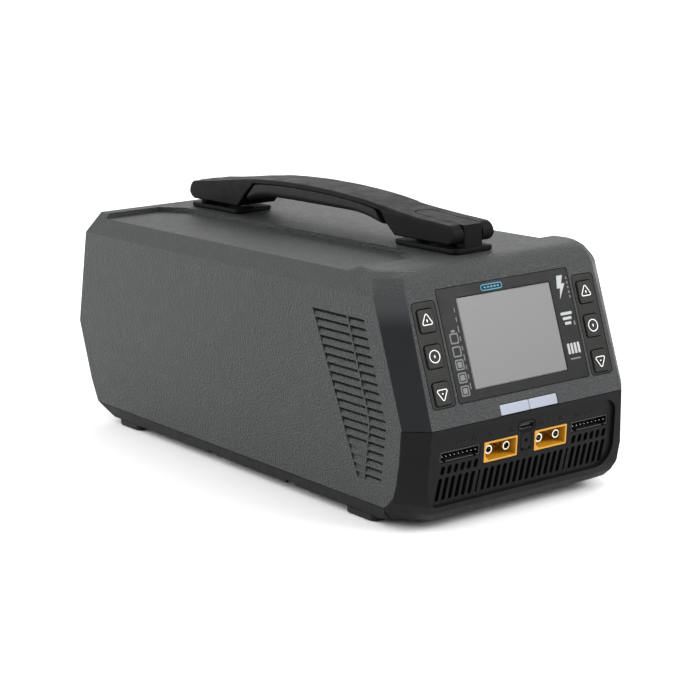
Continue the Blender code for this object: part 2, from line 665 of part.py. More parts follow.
def rear_openings(work):
    put_box(work, (INLET_BODY[0] + 2 * GAP, 30 * MM, INLET_BODY[2] + 2 * GAP), (INLET_X, PANEL_Y, REAR_ROW_Z))
    put_box(work, (ROCKER[0] + 2 * GAP, 30 * MM, ROCKER[1] + 2 * GAP), (ROCKER_X, PANEL_Y, REAR_ROW_Z))
    put_box(work, (POWER_SOCKET[0] + 2 * GAP, 30 * MM, POWER_SOCKET[1] + 2 * GAP), (DC_X, PANEL_Y, REAR_ROW_Z))


def make_rear():
    clear = 0.4 * MM
    panel = add("rear_panel", mesh_from(lambda work: loft(work, cavity_heights(clear), WALL + clear, LENGTH)),
                material=black)
    boolean(panel, box("rear_slab", (2 * REACH, WALL, 2 * TOP_Z), (0, PANEL_Y + WALL / 2, 0), None, cutter=True),
            "INTERSECT")
    boolean(panel, add("fan_slot_cutter", mesh_from(fan_slots), cutter=True))
    boolean(panel, add("rear_opening_cutter", mesh_from(rear_openings), cutter=True))
    make_power_socket("dc_input", charger, DC_X, REAR_ROW_Z, math.pi)


def make_inlet():
    """Mains inlet: a flange on the panel, a body through it, and three blades in its cavity."""
    face = PANEL_Y + WALL + GAP                       # the panel's outside, with a gap
    front = face + INLET_FLANGE[1]
    body = box("ac_inlet", INLET_BODY, (INLET_X, front - INLET_BODY[1] / 2, REAR_ROW_Z), black)
    flange = box("inlet_flange", INLET_FLANGE, (INLET_X, face + INLET_FLANGE[1] / 2, REAR_ROW_Z), None, cutter=True)
    boolean(body, flange, "UNION")
    wide, high = INLET_CAVITY
    boolean(body, box("inlet_cavity", (wide, 34 * MM, high), (INLET_X, PANEL_Y + 4 * MM, REAR_ROW_Z), None,
            cutter=True))
    for i, (across, up) in enumerate(INLET_BLADES):
        place = (INLET_X + across, PANEL_Y - INLET_BLADE[1] / 2, REAR_ROW_Z + up)
        boolean(body, box(f"inlet_blade_{i}", INLET_BLADE, place, None, cutter=True), "UNION")


def make_rocker():
    wide, high = ROCKER
    face = PANEL_Y + WALL + GAP
    front = face + ROCKER_FLANGE[1]
    frame = box("rocker_frame", (wide, ROCKER_BODY, high), (ROCKER_X, front - ROCKER_BODY / 2, REAR_ROW_Z), black)
    boolean(frame, box("rocker_flange", ROCKER_FLANGE, (ROCKER_X, face + ROCKER_FLANGE[1] / 2, REAR_ROW_Z), None,
            cutter=True), "UNION")
    boolean(frame, box("rocker_well", (wide - 2 * ROCKER_WALL, 20 * MM, high - 2 * ROCKER_WALL),
            (ROCKER_X, PANEL_Y + WALL + 4 * MM, REAR_ROW_Z), None, cutter=True))
    reach = high / 2 - 1.8 * MM
    wing = 3.16 * MM                                   # the ends stand out more than the hollow middle
    outline = [(-1.6 * MM, -reach), (wing, -reach), (1.32 * MM, 0), (wing, reach), (-1.6 * MM, reach),
               (-2.6 * MM, 0)]
    paddle = mesh_from(lambda work: put_prism(work, outline, -(wide / 2 - 1.6 * MM), wide / 2 - 1.6 * MM, "X"))
    add("power_rocker", paddle, location=(ROCKER_X, PANEL_Y + WALL + 0.2 * MM, REAR_ROW_Z),
        rotation=(ROCKER_SWING, 0, 0), material=finish("rocker_black", BLACK, 0.35))


# ------------------------------------------------------------------ fans

def make_fans():
    fan_y = PANEL_Y - GAP - FAN_DEPTH / 2
    for side, word in ((-1, "left"), (1, "right")):
        frame = box(f"fan_frame_{word}", (FAN_SIZE, FAN_DEPTH, FAN_SIZE), (side * FAN_X, fan_y, FAN_Z), black)
        boolean(frame, cylinder(f"fan_bore_{word}", ROTOR_RADIUS + 1 * MM, FAN_DEPTH - 3 * MM, (side * FAN_X,
                fan_y + 1.6 * MM, FAN_Z), None, sides=32, cutter=True))

        def windows(work):
            """Four openings in the frame's back, leaving a cross of spokes."""
            for i in range(4):
                turn = Matrix.Rotation(math.tau * i / 4, 4, "Y")
                outline = []
                for radius, start, end, steps in ((22.3 * MM, 8, 82, 6), (10.5 * MM, 74, 16, 3)):
                    for step in range(steps + 1):
                        angle = math.radians(start + (end - start) * step / steps)
                        outline.append((radius * math.cos(angle), radius * math.sin(angle)))
                before = set(work.verts)
                put_prism(work, outline, -12 * MM, 12 * MM, "Y")
                bmesh.ops.transform(work, matrix=turn, verts=[v for v in work.verts if v not in before])
        boolean(frame, add(f"fan_window_cutter_{word}", mesh_from(windows), location=(side * FAN_X, fan_y, FAN_Z),
                cutter=True))
        rotor_y = fan_y + 1.4 * MM
        rotor = cylinder(f"fan_rotor_{word}", HUB_RADIUS, 10 * MM, (side * FAN_X, rotor_y, FAN_Z), black)
        for i in range(BLADES):
            angle = math.tau * i / BLADES
            place = Matrix.Rotation(angle, 4, "Y") @ Matrix.Translation((BLADE_MID, 0, 0))
            place = place @ Matrix.Rotation(BLADE_PITCH, 4, "X")
            blade = mesh_from(lambda work: put_box(work, BLADE, (0, 0, 0)))
            blade.transform(place)
            boolean(rotor, add(f"blade_{word}_{i}", blade, location=(side * FAN_X, rotor_y, FAN_Z), cutter=True),
                    "UNION")


# ------------------------------------------------------------------ handle

def grip_top(y):
    """Height of the grip's back, an easy arch that flattens over the arms."""
    across = abs(y - HANDLE_MID_Y) / HANDLE_REACH
    return GRIP_END_Z + (GRIP_TOP_Z - GRIP_END_Z) * (0.5 + 0.5 * math.cos(math.pi * min(1.0, across * 1.03)))


def grip_outline():
    """Side view of the grip: an arched back, and an arm at each end with a rounded tip."""
    front = HANDLE_MID_Y - HANDLE_REACH
    steps = 18
    points = []
    for i in range(steps + 1):
        y = front + 4 * MM + (2 * HANDLE_REACH - 8 * MM) * i / steps
        points.append((y, grip_top(y)))
    tip = [(2 * HANDLE_REACH - 1 * MM, GRIP_END_Z - 2.5 * MM), (2 * HANDLE_REACH, 131.8 * MM),
           (2 * HANDLE_REACH - 3 * MM, ARM_LOW_Z + 1.2 * MM), (2 * HANDLE_REACH - 7 * MM, ARM_LOW_Z)]
    points += [(front + y, z) for y, z in tip]
    inner = 2 * HANDLE_REACH - ARM_LENGTH
    points += [(front + inner, ARM_LOW_Z), (front + inner - 9 * MM, 137.6 * MM)]
    under = 10
    for i in range(under + 1):
        y = front + inner - 18 * MM - (2 * inner - 2 * HANDLE_REACH - 36 * MM) * i / under
        points.append((y, grip_top(y) - GRIP_SKIN))
    points += [(front + ARM_LENGTH + 9 * MM, 137.6 * MM), (front + ARM_LENGTH, ARM_LOW_Z)]
    points += [(front + 2 * HANDLE_REACH - y, z) for y, z in reversed(tip)]
    return points


def make_handle():
    soft = finish("handle_plastic", BLACK, 0.5)
    grip = add("handle_grip", mesh_from(lambda work: put_prism(work, grip_outline(), -GRIP_HALF, GRIP_HALF, "X")),
               material=soft)

    def post_gaps(work):
        for end in (-1, 1):
            put_box(work, (2 * (POST_HALF + GAP), 16 * MM, 60 * MM), (0, HANDLE_MID_Y + end * HANDLE_REACH, 132 * MM))

    def tongue_pockets(work):
        for end in (-1, 1):
            tip = HANDLE_MID_Y + end * HANDLE_REACH
            outline = []
            for step in range(7):
                angle = math.pi * step / 6
                outline.append(((POST_HALF + GAP) * math.cos(angle), tip - end * (36 + 6 * math.sin(angle)) * MM))
            outline += [(-(POST_HALF + GAP), tip + end * 10 * MM), (POST_HALF + GAP, tip + end * 10 * MM)]
            put_prism(work, outline, 133.6 * MM, 160 * MM, "Z")
    boolean(grip, add("post_gap_cutter", mesh_from(post_gaps), cutter=True))
    boolean(grip, add("tongue_pocket_cutter", mesh_from(tongue_pockets), cutter=True))

    def insert_outline():
        points = []
        span = HANDLE_REACH - ARM_LENGTH - 9.6 * MM
        for i in range(13):
            y = HANDLE_MID_Y - span + 2 * span * i / 12
            points.append((y, min(grip_top(y), grip_top(y - 1 * MM), grip_top(y + 1 * MM)) - GRIP_SKIN - 0.45 * MM))
        points[0] = (points[0][0], 137.0 * MM)
        points[-1] = (points[-1][0], 137.0 * MM)
        points += [(HANDLE_MID_Y + span - 5 * MM, INSERT_LOW_Z + 0.6 * MM), (HANDLE_MID_Y + span - 14 * MM, INSERT_LOW_Z),
                   (HANDLE_MID_Y - span + 14 * MM, INSERT_LOW_Z), (HANDLE_MID_Y - span + 5 * MM, INSERT_LOW_Z + 0.6 * MM)]
        return points
    insert = add("grip_insert", mesh_from(lambda work: put_prism(work, insert_outline(), -GRIP_HALF + 1.6 * MM,
                 GRIP_HALF - 1.6 * MM, "X")), material=rubber)
    soften(insert, 2.0 * MM)
    make_brackets(soft)


def make_brackets(soft):
    for end, word in ((-1, "front"), (1, "rear")):
        tip = HANDLE_MID_Y + end * HANDLE_REACH
        floor_z = TOP_Z + GAP
        bracket = box(f"bracket_{word}", (PLATE[0], PLATE[1], PLATE[2]), (0, tip - end * (PLATE[1] / 2 - 1 * MM),
                      floor_z + PLATE[2] / 2), soft)
        boolean(bracket, box(f"bracket_post_{word}", (2 * POST_HALF, 6 * MM, 14.3 * MM), (0, tip - end * 3 * MM,
                floor_z + 7.15 * MM), None, cutter=True), "UNION")

        def tongue(work):
            outline = []
            for step in range(7):
                angle = math.pi * step / 6
                outline.append((POST_HALF * math.cos(angle), tip - end * (35.5 + 6 * math.sin(angle)) * MM))
            outline += [(-POST_HALF, tip), (POST_HALF, tip)]
            put_prism(work, outline, 133.9 * MM, 136.4 * MM, "Z")
        boolean(bracket, add(f"tongue_{word}", mesh_from(tongue), cutter=True), "UNION")
        boolean(bracket, add(f"bracket_bore_{word}", mesh_from(lambda work: bracket_holes(work, 2.0 * MM)),
                cutter=True))
    for number, y in enumerate(SCREW_STATIONS, 1):
        screw = cylinder(f"bracket_screw_{number}", 1.6 * MM, 10 * MM, (0, y, TOP_Z - 1 * MM), steel, "Z", sides=12)
        head = cylinder(f"screw_head_{number}", 3.2 * MM, 1.6 * MM, (0, y, TOP_Z + GAP + PLATE[2] + GAP + 0.8 * MM), None,
                        "Z", sides=12, cutter=True)
        boolean(screw, head, "UNION")


make_shell()
make_bezel()
make_pan()
make_display()
make_keys()
make_sockets()
make_inside()
make_rear()
make_inlet()
make_rocker()
make_fans()
make_handle()
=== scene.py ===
import math

import bmesh
import bpy
from mathutils import Matrix, Vector


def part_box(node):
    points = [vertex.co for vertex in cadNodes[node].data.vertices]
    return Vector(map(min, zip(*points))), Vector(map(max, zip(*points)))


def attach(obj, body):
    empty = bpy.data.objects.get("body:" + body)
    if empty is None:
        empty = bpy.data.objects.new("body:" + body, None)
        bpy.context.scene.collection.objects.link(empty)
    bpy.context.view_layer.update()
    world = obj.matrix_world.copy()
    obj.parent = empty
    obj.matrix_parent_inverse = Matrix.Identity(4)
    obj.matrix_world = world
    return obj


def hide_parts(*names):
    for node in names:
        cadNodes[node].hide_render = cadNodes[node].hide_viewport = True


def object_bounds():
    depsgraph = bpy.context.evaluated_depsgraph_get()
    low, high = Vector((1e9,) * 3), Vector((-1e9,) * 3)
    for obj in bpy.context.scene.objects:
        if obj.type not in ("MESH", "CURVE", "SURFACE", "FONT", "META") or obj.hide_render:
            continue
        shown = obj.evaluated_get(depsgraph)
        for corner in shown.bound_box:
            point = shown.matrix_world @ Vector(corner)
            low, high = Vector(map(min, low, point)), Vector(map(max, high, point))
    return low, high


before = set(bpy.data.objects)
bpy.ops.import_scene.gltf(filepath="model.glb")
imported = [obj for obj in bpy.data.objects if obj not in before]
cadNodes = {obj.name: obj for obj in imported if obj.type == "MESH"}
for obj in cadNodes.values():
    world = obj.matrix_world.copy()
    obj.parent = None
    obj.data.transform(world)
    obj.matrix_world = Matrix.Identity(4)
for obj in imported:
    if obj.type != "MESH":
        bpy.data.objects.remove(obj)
cadLow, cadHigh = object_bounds()
mm = 0.001
print("frame loaded:", len(cadNodes), "CAD nodes")

case = {  # millimetres; y runs back from the front seam
    "length": (cadHigh.y - cadLow.y) / mm, "halfWidth": cadHigh.x / mm,
    "seam": 51.1, "slopeTilt": 17.57, "lowerTilt": 5.9,
    "pan": 3.7, "sideLow": 10.3, "crease": 110.9, "top": 121.8, "topHalf": 59.4, "brow": 13.0,
    "cornerAcross": 9.7, "cornerBack": 10.2, "ridge": 56.9,
    "wall": 2.7, "roof": 5.4, "floor": 2.6, "gap": 0.3, "edgeRound": 1.3,
}
unit = Matrix.Scale(mm, 4)
seamPoint = Matrix.Translation((0, cadLow.y, case["seam"] * mm))
caseFrame = Matrix.Translation((0, cadLow.y, 0)) @ unit
# y inward, z up the face
slopeFrame = seamPoint @ Matrix.Rotation(-math.radians(case["slopeTilt"]), 4, "X") @ unit
# y inward, -z down the face
lowerFrame = seamPoint @ Matrix.Rotation(math.radians(case["lowerTilt"]), 4, "X") @ unit


# outlines, as lists of flat points in millimetres

def roundRect(x, z, wide, high, radius, steps=5):
    radii = radius if isinstance(radius, tuple) else (radius,) * 4  # low left, low right, high right, high left
    points = []
    for (sx, sz, start), r in zip(((-1, -1, 180), (1, -1, 270), (1, 1, 0), (-1, 1, 90)), radii):
        cx, cz = x + sx * (wide / 2 - r), z + sz * (high / 2 - r)
        for step in range(steps + 1):
            angle = math.radians(start + 90 * step / steps)
            points.append((cx + r * math.cos(angle), cz + r * math.sin(angle)))
    return points


def circle(x, z, radius, steps=24, turn=0.0):
    return [(x + radius * math.cos(turn + math.tau * i / steps),
             z + radius * math.sin(turn + math.tau * i / steps))
            for i in range(steps)]


def leaned(points, x, z, lean):  # leans an outline over, the top towards +x
    return [(px + (pz - z) * math.tan(lean), pz) for px, pz in points]


def cutCorners(x, z, wide, high, cuts):  # a rectangle with chamfered corners, cuts in the order of roundRect
    left, right, low, top = x - wide / 2, x + wide / 2, z - high / 2, z + high / 2
    a, b, c, d = cuts
    return [(left, low + a), (left + a, low), (right - b, low), (right, low + b),
            (right, top - c), (right - c, top), (left + d, top), (left, top - d)]


# solids

def where(axis, a, b, height):
    return {"x": (height, a, b), "y": (a, height, b), "z": (a, b, height)}[axis]


def stack(work, loops, closed=False):  # faces between loops of points, with lids unless closed
    rings = [[work.verts.new(point) for point in loop] for loop in loops]
    if not closed:
        work.faces.new(rings[0][::-1])
        work.faces.new(rings[-1])
    for below, above in zip(rings, rings[1:] + (rings[:1] if closed else [])):
        for i in range(len(below)):
            j = (i + 1) % len(below)
            work.faces.new((below[i], below[j], above[j], above[i]))


def prism(work, outline, low, high, axis="y"):
    stack(work, [[where(axis, a, b, height) for a, b in outline] for height in (low, high)])


def ringPrism(work, outer, inner, low, high, axis="y"):
    stack(work, [[where(axis, a, b, height) for a, b in outline]
                 for outline, height in ((outer, low), (inner, low), (inner, high),
                                         (outer, high))], closed=True)


def solid(name, make, place=caseFrame):
    work = bmesh.new()
    make(work)
    bmesh.ops.recalc_face_normals(work, faces=work.faces)
    mesh = bpy.data.meshes.new(name)
    work.to_mesh(mesh)
    work.free()
    mesh.transform(place)
    item = bpy.data.objects.new(name, mesh)
    bpy.context.scene.collection.objects.link(item)
    return item


def block(outline, low, high, place=caseFrame, axis="y"):
    return solid("block", lambda work: prism(work, outline, low, high, axis), place)


def settle(item):  # modifiers become part of the mesh
    graph = bpy.context.evaluated_depsgraph_get()
    mesh = bpy.data.meshes.new_from_object(item.evaluated_get(graph), depsgraph=graph)
    item.modifiers.clear()
    item.data = mesh
    return item


def soften(item, width, segments=2, angle=30):
    bevel = item.modifiers.new("soften", "BEVEL")
    bevel.width = width * mm
    bevel.segments = segments
    bevel.limit_method = "ANGLE"
    bevel.angle_limit = math.radians(angle)
    return settle(item)


def carve(item, *tools, operation="DIFFERENCE"):
    for tool in tools:
        cut = item.modifiers.new("cut", "BOOLEAN")
        cut.operation = operation
        cut.solver = "EXACT"
        cut.object = tool
    settle(item)
    for tool in tools:
        bpy.data.objects.remove(tool)
    return item


sharpFrom = 34  # degrees between faces


def show(name, parts, nodes, body="charger"):
    work = bmesh.new()
    for index, (part, finish) in enumerate(parts):
        start = len(work.faces)
        work.from_mesh(part.data)
        work.faces.ensure_lookup_table()
        for face in work.faces[start:]:
            face.material_index = index
        bpy.data.objects.remove(part)
    mesh = bpy.data.meshes.new(name)
    work.to_mesh(mesh)
    work.free()
    for part, finish in parts:
        mesh.materials.append(finish)
    item = bpy.data.objects.new(name, mesh)
    bpy.context.scene.collection.objects.link(item)
    mesh.shade_smooth()
    mesh.set_sharp_from_angle(angle=math.radians(sharpFrom))
    flat = item.modifiers.new("flatFaces", "WEIGHTED_NORMAL")
    flat.keep_sharp = True
    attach(item, body)
    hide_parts(*nodes)
    return item


# finishes

def addNode(tree, kind, inputs, **settings):  # inputs are sockets to link or values to set
    made = tree.nodes.new("ShaderNode" + kind)
    for key, value in settings.items():
        setattr(made, key, value)
    join(tree, made, inputs)
    return made


def join(tree, item, inputs):
    for key, value in inputs.items():
        if isinstance(value, bpy.types.NodeSocket):
            tree.links.new(value, item.inputs[key])
        else:
            item.inputs[key].default_value = value


grains = {  # texture, its inputs, its settings, the output to emboss
    "leather": ("TexVoronoi", {"Smoothness": 0.5}, {"feature": "SMOOTH_F1"}, "Distance"),
    "bands": ("TexWave", {"Distortion": 0.6}, {}, "Fac"),
    "fine": ("TexNoise", {"Detail": 3.0}, {}, "Fac"),
}
surface = {"cloud": 38.0, "cloudDetail": 5.0, "wear": 150.0, "wearDetail": 6.0, "coatRough": 0.12,
           "emboss": 0.8}


def finishOf(name, base, rough, grain=None, depth=0.05, size=0.6, vary=0.07, metal=0.0, coat=0.0,
             stretch=(1, 1, 1), roughVary=0.06, shine=0.5):
    made = bpy.data.materials.new(name)
    made.use_nodes = True
    tree = made.node_tree
    shader = tree.nodes["Principled BSDF"]
    place = addNode(tree, "TexCoord", {}).outputs["Object"]
    cloud = addNode(tree, "TexNoise", {"Scale": surface["cloud"], "Detail": surface["cloudDetail"],
                                       "Vector": place})
    tone = addNode(tree, "Mix", {}, data_type="RGBA")  # slow drift of tone over the moulding
    join(tree, tone, {"A": (*[c * (1 - vary) for c in base], 1),
                      "B": (*[min(1, c * (1 + vary)) for c in base], 1), "Factor": cloud.outputs["Fac"]})
    wear = addNode(tree, "TexNoise", {"Scale": surface["wear"], "Detail": surface["wearDetail"],
                                      "Vector": place})
    gloss = addNode(tree, "MapRange", {"From Min": 0.3, "From Max": 0.7, "To Min": max(0.03, rough - roughVary),
                                       "To Max": min(1.0, rough + roughVary), "Value": wear.outputs["Fac"]})
    join(tree, shader, {"Metallic": metal, "Specular IOR Level": shine, "Coat Weight": coat,
                        "Coat Roughness": surface["coatRough"], "Base Color": tone.outputs["Result"],
                        "Roughness": gloss.outputs["Result"]})
    if grain:
        kind, inputs, settings, output = grains[grain]
        stretched = addNode(tree, "Mapping", {"Scale": stretch, "Vector": place})
        scale = 1 / (size * mm) / (math.tau if grain == "bands" else 1)
        cells = addNode(tree, kind, {**inputs, "Scale": scale, "Vector": stretched.outputs["Vector"]},
                        **settings)
        bump = addNode(tree, "Bump", {"Strength": surface["emboss"], "Distance": depth * mm,
                                      "Height": cells.outputs[output]})
        join(tree, shader, {"Normal": bump.outputs["Normal"]})
    return made


def fadeTone(finish, low, high, base, shine):  # the finish turns to another tone between two heights; here it fades the painted shade on the corner strips back into the grey near the crease
    tree = finish.node_tree
    shader = tree.nodes["Principled BSDF"]
    place = addNode(tree, "NewGeometry", {}).outputs["Position"]
    split = addNode(tree, "SeparateXYZ", {"Vector": place})
    climb = addNode(tree, "MapRange", {"From Min": low * mm, "From Max": high * mm,
                                       "Value": split.outputs["Z"]},
                    interpolation_type="SMOOTHSTEP").outputs["Result"]
    blend = addNode(tree, "Mix", {}, data_type="RGBA")
    join(tree, blend, {"A": shader.inputs["Base Color"].links[0].from_socket, "B": (*base, 1), "Factor": climb})
    level = addNode(tree, "MapRange", {"To Min": shader.inputs["Specular IOR Level"].default_value,
                                       "To Max": shine, "Value": climb})
    join(tree, shader, {"Base Color": blend.outputs["Result"], "Specular IOR Level": level.outputs["Result"]})


def boardFinish():  # green mask over paler tracks
    made = finishOf("circuitBoard", (0.012, 0.085, 0.03), 0.38, "fine", depth=0.02, size=0.8, coat=0.25)
    tree = made.node_tree
    place = addNode(tree, "TexCoord", {}).outputs["Object"]
    tracks = addNode(tree, "TexBrick", {"Scale": 120.0, "Color1": (0.010, 0.075, 0.026, 1), "Vector": place,
                                        "Color2": (0.014, 0.10, 0.036, 1), "Mortar": (0.03, 0.16, 0.06, 1),
                                        "Mortar Size": 0.03})
    join(tree, tree.nodes["Principled BSDF"], {"Base Color": tracks.outputs["Color"]})
    return made


greyTone, greyShine = (0.031, 0.0324, 0.0332), 0.21
greyShell = finishOf("greyShell", greyTone, 0.48, "leather", depth=0.75, size=1.0, vary=0.03, shine=greyShine,
                     roughVary=0.03)
# painted shade: the front corner strip is the same grey plastic, and this darker copy with less sheen stands in
# for the shade on faces turned away from the lamps
paintedShadeStrip = finishOf("paintedShadeStrip", (0.010, 0.0105, 0.0115), 0.5, "fine", depth=0.1, size=0.7, vary=0.03,
                       shine=0.14)
blackPlastic = finishOf("blackPlastic", (0.0048, 0.0048, 0.005), 0.42, "fine", depth=0.05, size=0.5, vary=0.03,
                        shine=0.1)
handlePlastic = finishOf("handlePlastic", (0.0055, 0.0055, 0.0057), 0.5, "fine", depth=0.07, size=0.55,
                         shine=0.05)
softRubber = finishOf("softRubber", (0.006, 0.006, 0.006), 0.6, "fine", depth=0.03, size=0.4, shine=0.2)
tintedWindow = finishOf("tintedWindow", (0.005, 0.005, 0.0052), 0.36, "fine", depth=0.006, size=2.0, vary=0.03,
                        shine=0.14)
screenFace = finishOf("screenFace", (0.114, 0.114, 0.114), 0.34, vary=0.01, roughVary=0.02, shine=0.4)
screenEdge = finishOf("screenEdge", (0.012, 0.012, 0.013), 0.3, coat=0.3)
lightGuide = finishOf("lightGuide", (0.225, 0.248, 0.303), 0.35, "fine", depth=0.01, size=0.6, vary=0.03,
                      coat=0.2)
keyStrip = finishOf("keyStrip", (0.009, 0.0086, 0.0079), 0.42, "fine", depth=0.02, size=0.4, shine=0.15)
keyCap = finishOf("keyCap", (0.0095, 0.0091, 0.0083), 0.4, "fine", depth=0.02, size=0.4, shine=0.16)
whitePrint = finishOf("whitePrint", (0.7, 0.7, 0.7), 0.5, vary=0.03)
greyPrint = finishOf("greyPrint", (0.30, 0.31, 0.32), 0.5, vary=0.03)
dimPrint = finishOf("dimPrint", (0.10, 0.103, 0.106), 0.5, vary=0.03)
bluePrint = finishOf("bluePrint", (0.02, 0.24, 0.38), 0.5, vary=0.03)
amberNylon = finishOf("amberNylon", (0.46, 0.215, 0.010), 0.34, "fine", depth=0.01, size=0.5, vary=0.06)
pinMetal = finishOf("pinMetal", (0.74, 0.71, 0.64), 0.24, "fine", depth=0.01, size=0.3, metal=1.0)
socketPlastic = finishOf("socketPlastic", (0.006, 0.006, 0.006), 0.45, "fine", depth=0.015, size=0.3)
circuitBoard = boardFinish()
heatSinkMetal = finishOf("heatSinkMetal", (0.6, 0.61, 0.62), 0.36, "fine", depth=0.03, size=0.5, metal=1.0,
                         stretch=(1, 0.06, 1))
capacitorSleeve = finishOf("capacitorSleeve", (0.02, 0.028, 0.055), 0.32, "fine", depth=0.01, size=0.8,
                           coat=0.2)
ferrite = finishOf("ferrite", (0.03, 0.03, 0.03), 0.55, "bands", depth=0.08, size=3.0)
copperWinding = finishOf("copperWinding", (0.5, 0.2, 0.07), 0.32, "bands", depth=0.3, size=1.4, metal=1.0)
platedScrew = finishOf("platedScrew", (0.12, 0.12, 0.125), 0.35, "fine", depth=0.02, size=0.3, metal=1.0)
fanPlastic = finishOf("fanPlastic", (0.016, 0.016, 0.017), 0.5, "fine", depth=0.02, size=0.5)
rockerPlastic = finishOf("rockerPlastic", (0.02, 0.02, 0.021), 0.3, "fine", depth=0.01, size=0.5, coat=0.2)
print("finishes made")


# the case's plan outline at each height

def browPoints(count):  # the round between the upper face and the roof
    tilt = math.radians(case["slopeTilt"])
    centreZ = case["top"] - case["brow"]
    centreY = (centreZ - case["seam"]) * math.tan(tilt) + case["brow"] / math.cos(tilt)
    angles = [math.pi - tilt + (tilt - math.pi / 2) * step / count for step in range(count + 1)]
    return [(centreZ + case["brow"] * math.sin(a), centreY + case["brow"] * math.cos(a)) for a in angles]


brow = browPoints(9)
outlineAt = {  # height, value
    "wide": [(case["pan"], 66.0), (case["sideLow"], 67.5), (24, case["halfWidth"]),
             (case["crease"], case["halfWidth"]), (case["top"], case["topHalf"])],
    "front": [(case["pan"], 14.4), (6.5, 8.4), (9.5, 5.7), (13.5, 3.9), (case["seam"], 0.0)] + brow,
    "corner": [(case["pan"], 32.0), (case["sideLow"], 25.5), (15, 19.6), (24, 15.2), (36, 12.2),
               (case["seam"], case["cornerBack"]), (brow[0][0], brow[0][1] + case["cornerBack"]),
               (brow[4][0], brow[4][1] + 10.5), (brow[7][0], brow[7][1] + 10.5),
               (case["top"], brow[-1][1] + 9)],
    "face": [(case["pan"], 51.0), (6.5, 54.2), (case["sideLow"], 57.0), (15, 59.2), (24, 60.6),
             (case["seam"], case["halfWidth"] - case["cornerAcross"]),
             (brow[0][0], case["halfWidth"] - case["cornerAcross"] - 1.4), (brow[4][0], 55.6),
             (brow[7][0], 52.0), (case["top"], 46.5)],
    "bulge": [(brow[0][0], 0.0), (brow[3][0], 0.5), (brow[6][0], 1.6), (case["top"], 3.0)],
    "shoulder": [(case["crease"], 0.0), (114.5, 1.9), (118.5, 2.9), (120.6, 2.7), (case["top"], 1.6)],
    "rear": [(case["pan"], 292.0), (case["sideLow"], 308.3), (case["ridge"], case["length"]),
             (case["crease"], 307.85), (case["top"], 304.9)],
}
heights = sorted({z for table in outlineAt.values() for z, value in table})


def valueAt(z, table):
    if z < table[0][0]:
        return table[0][1]
    for (lowZ, low), (highZ, high) in zip(table, table[1:]):
        if z <= highZ:
            return low + (high - low) * (z - lowZ) / (highZ - lowZ)
    return table[-1][1]


shoulderEnds = {"near": 11, "far": 26, "ease": 0.55}  # how the rounded front shoulder runs out along the side


def planAt(z, shrink=0.0, rear=None):
    names = ("wide", "front", "corner", "face", "rear")
    wide, front, corner, face, back = (valueAt(z, outlineAt[name]) for name in names)
    back = back if rear is None else rear
    if not shrink:
        bulge, shoulder = valueAt(z, outlineAt["bulge"]), valueAt(z, outlineAt["shoulder"])
        across, along = wide + shoulder - face, corner - front
        reach = math.hypot(across, along)
        strip = []
        for t in (0, 0.2, 0.4, 0.6, 0.8, 1):  # across the corner, from the front to the side
            out = bulge * 4 * t * (1 - t) / reach
            strip.append((face + across * t + along * out, front + along * t - across * out))
        half = strip + [(wide + shoulder * shoulderEnds["ease"], corner + shoulderEnds["near"]),
                        (wide, corner + shoulderEnds["far"]), (wide, back)]
        return [Vector(p) for p in half] + [Vector((-x, y)) for x, y in half[::-1]]
    points = [Vector(p) for p in ((-face, front), (face, front), (wide, corner), (wide, back), (-wide, back),
                                  (-wide, corner))]
    lines = []
    for i, start in enumerate(points):
        along = (points[(i + 1) % 6] - start).normalized()
        lines.append((start + Vector((-along.y, along.x)) * shrink, along))
    moved = []
    for (a, da), (b, db) in zip(lines[-1:] + lines[:-1], lines):
        reach = ((b - a).x * db.y - (b - a).y * db.x) / (da.x * db.y - da.y * db.x)
        moved.append(a + da * reach)
    return moved


def caseSolid(name, levels=heights, shrink=0.0, rear=None, rounded=True):
    loops = [[(p.x, p.y, z) for p in planAt(z, shrink, rear)] for z in levels]
    item = solid(name, lambda work: stack(work, loops))
    return soften(item, case["edgeRound"], 3, 22) if rounded else item


def cavity(shrink=case["wall"]):
    low, high = case["pan"] + case["floor"], case["top"] - case["roof"]
    levels = [low] + [z for z in heights if low < z < high] + [high]
    return caseSolid("cavity", levels, shrink, case["length"] + 40, rounded=False)


parting = {"behind": 0.7, "low": (24.2, 12.5), "foot": 27.5, "panMiddle": 227.0, "panLong": 400,
           "panClear": 2.7}


def bezelZone(clear):  # side view: under the seam and in front of the parting line
    points = [(-5, case["seam"] - clear)]
    points += [(valueAt(z, outlineAt["corner"]) + parting["behind"] - clear, z)
               for z in (case["seam"] - clear, 36, 24, 17)]
    (y, z), foot = parting["low"], parting["foot"] - clear
    points += [(y - clear, z - clear), (foot, case["sideLow"] - clear), (foot, -2), (-5, -2)]
    return block(points, -90, 90, axis="x")


def panZone(clear):
    middle = parting["panMiddle"] + clear * parting["panClear"]
    return block(roundRect(0, middle, 180, parting["panLong"], 0.1, 1), -2, case["sideLow"] - clear, axis="z")


# grey shell

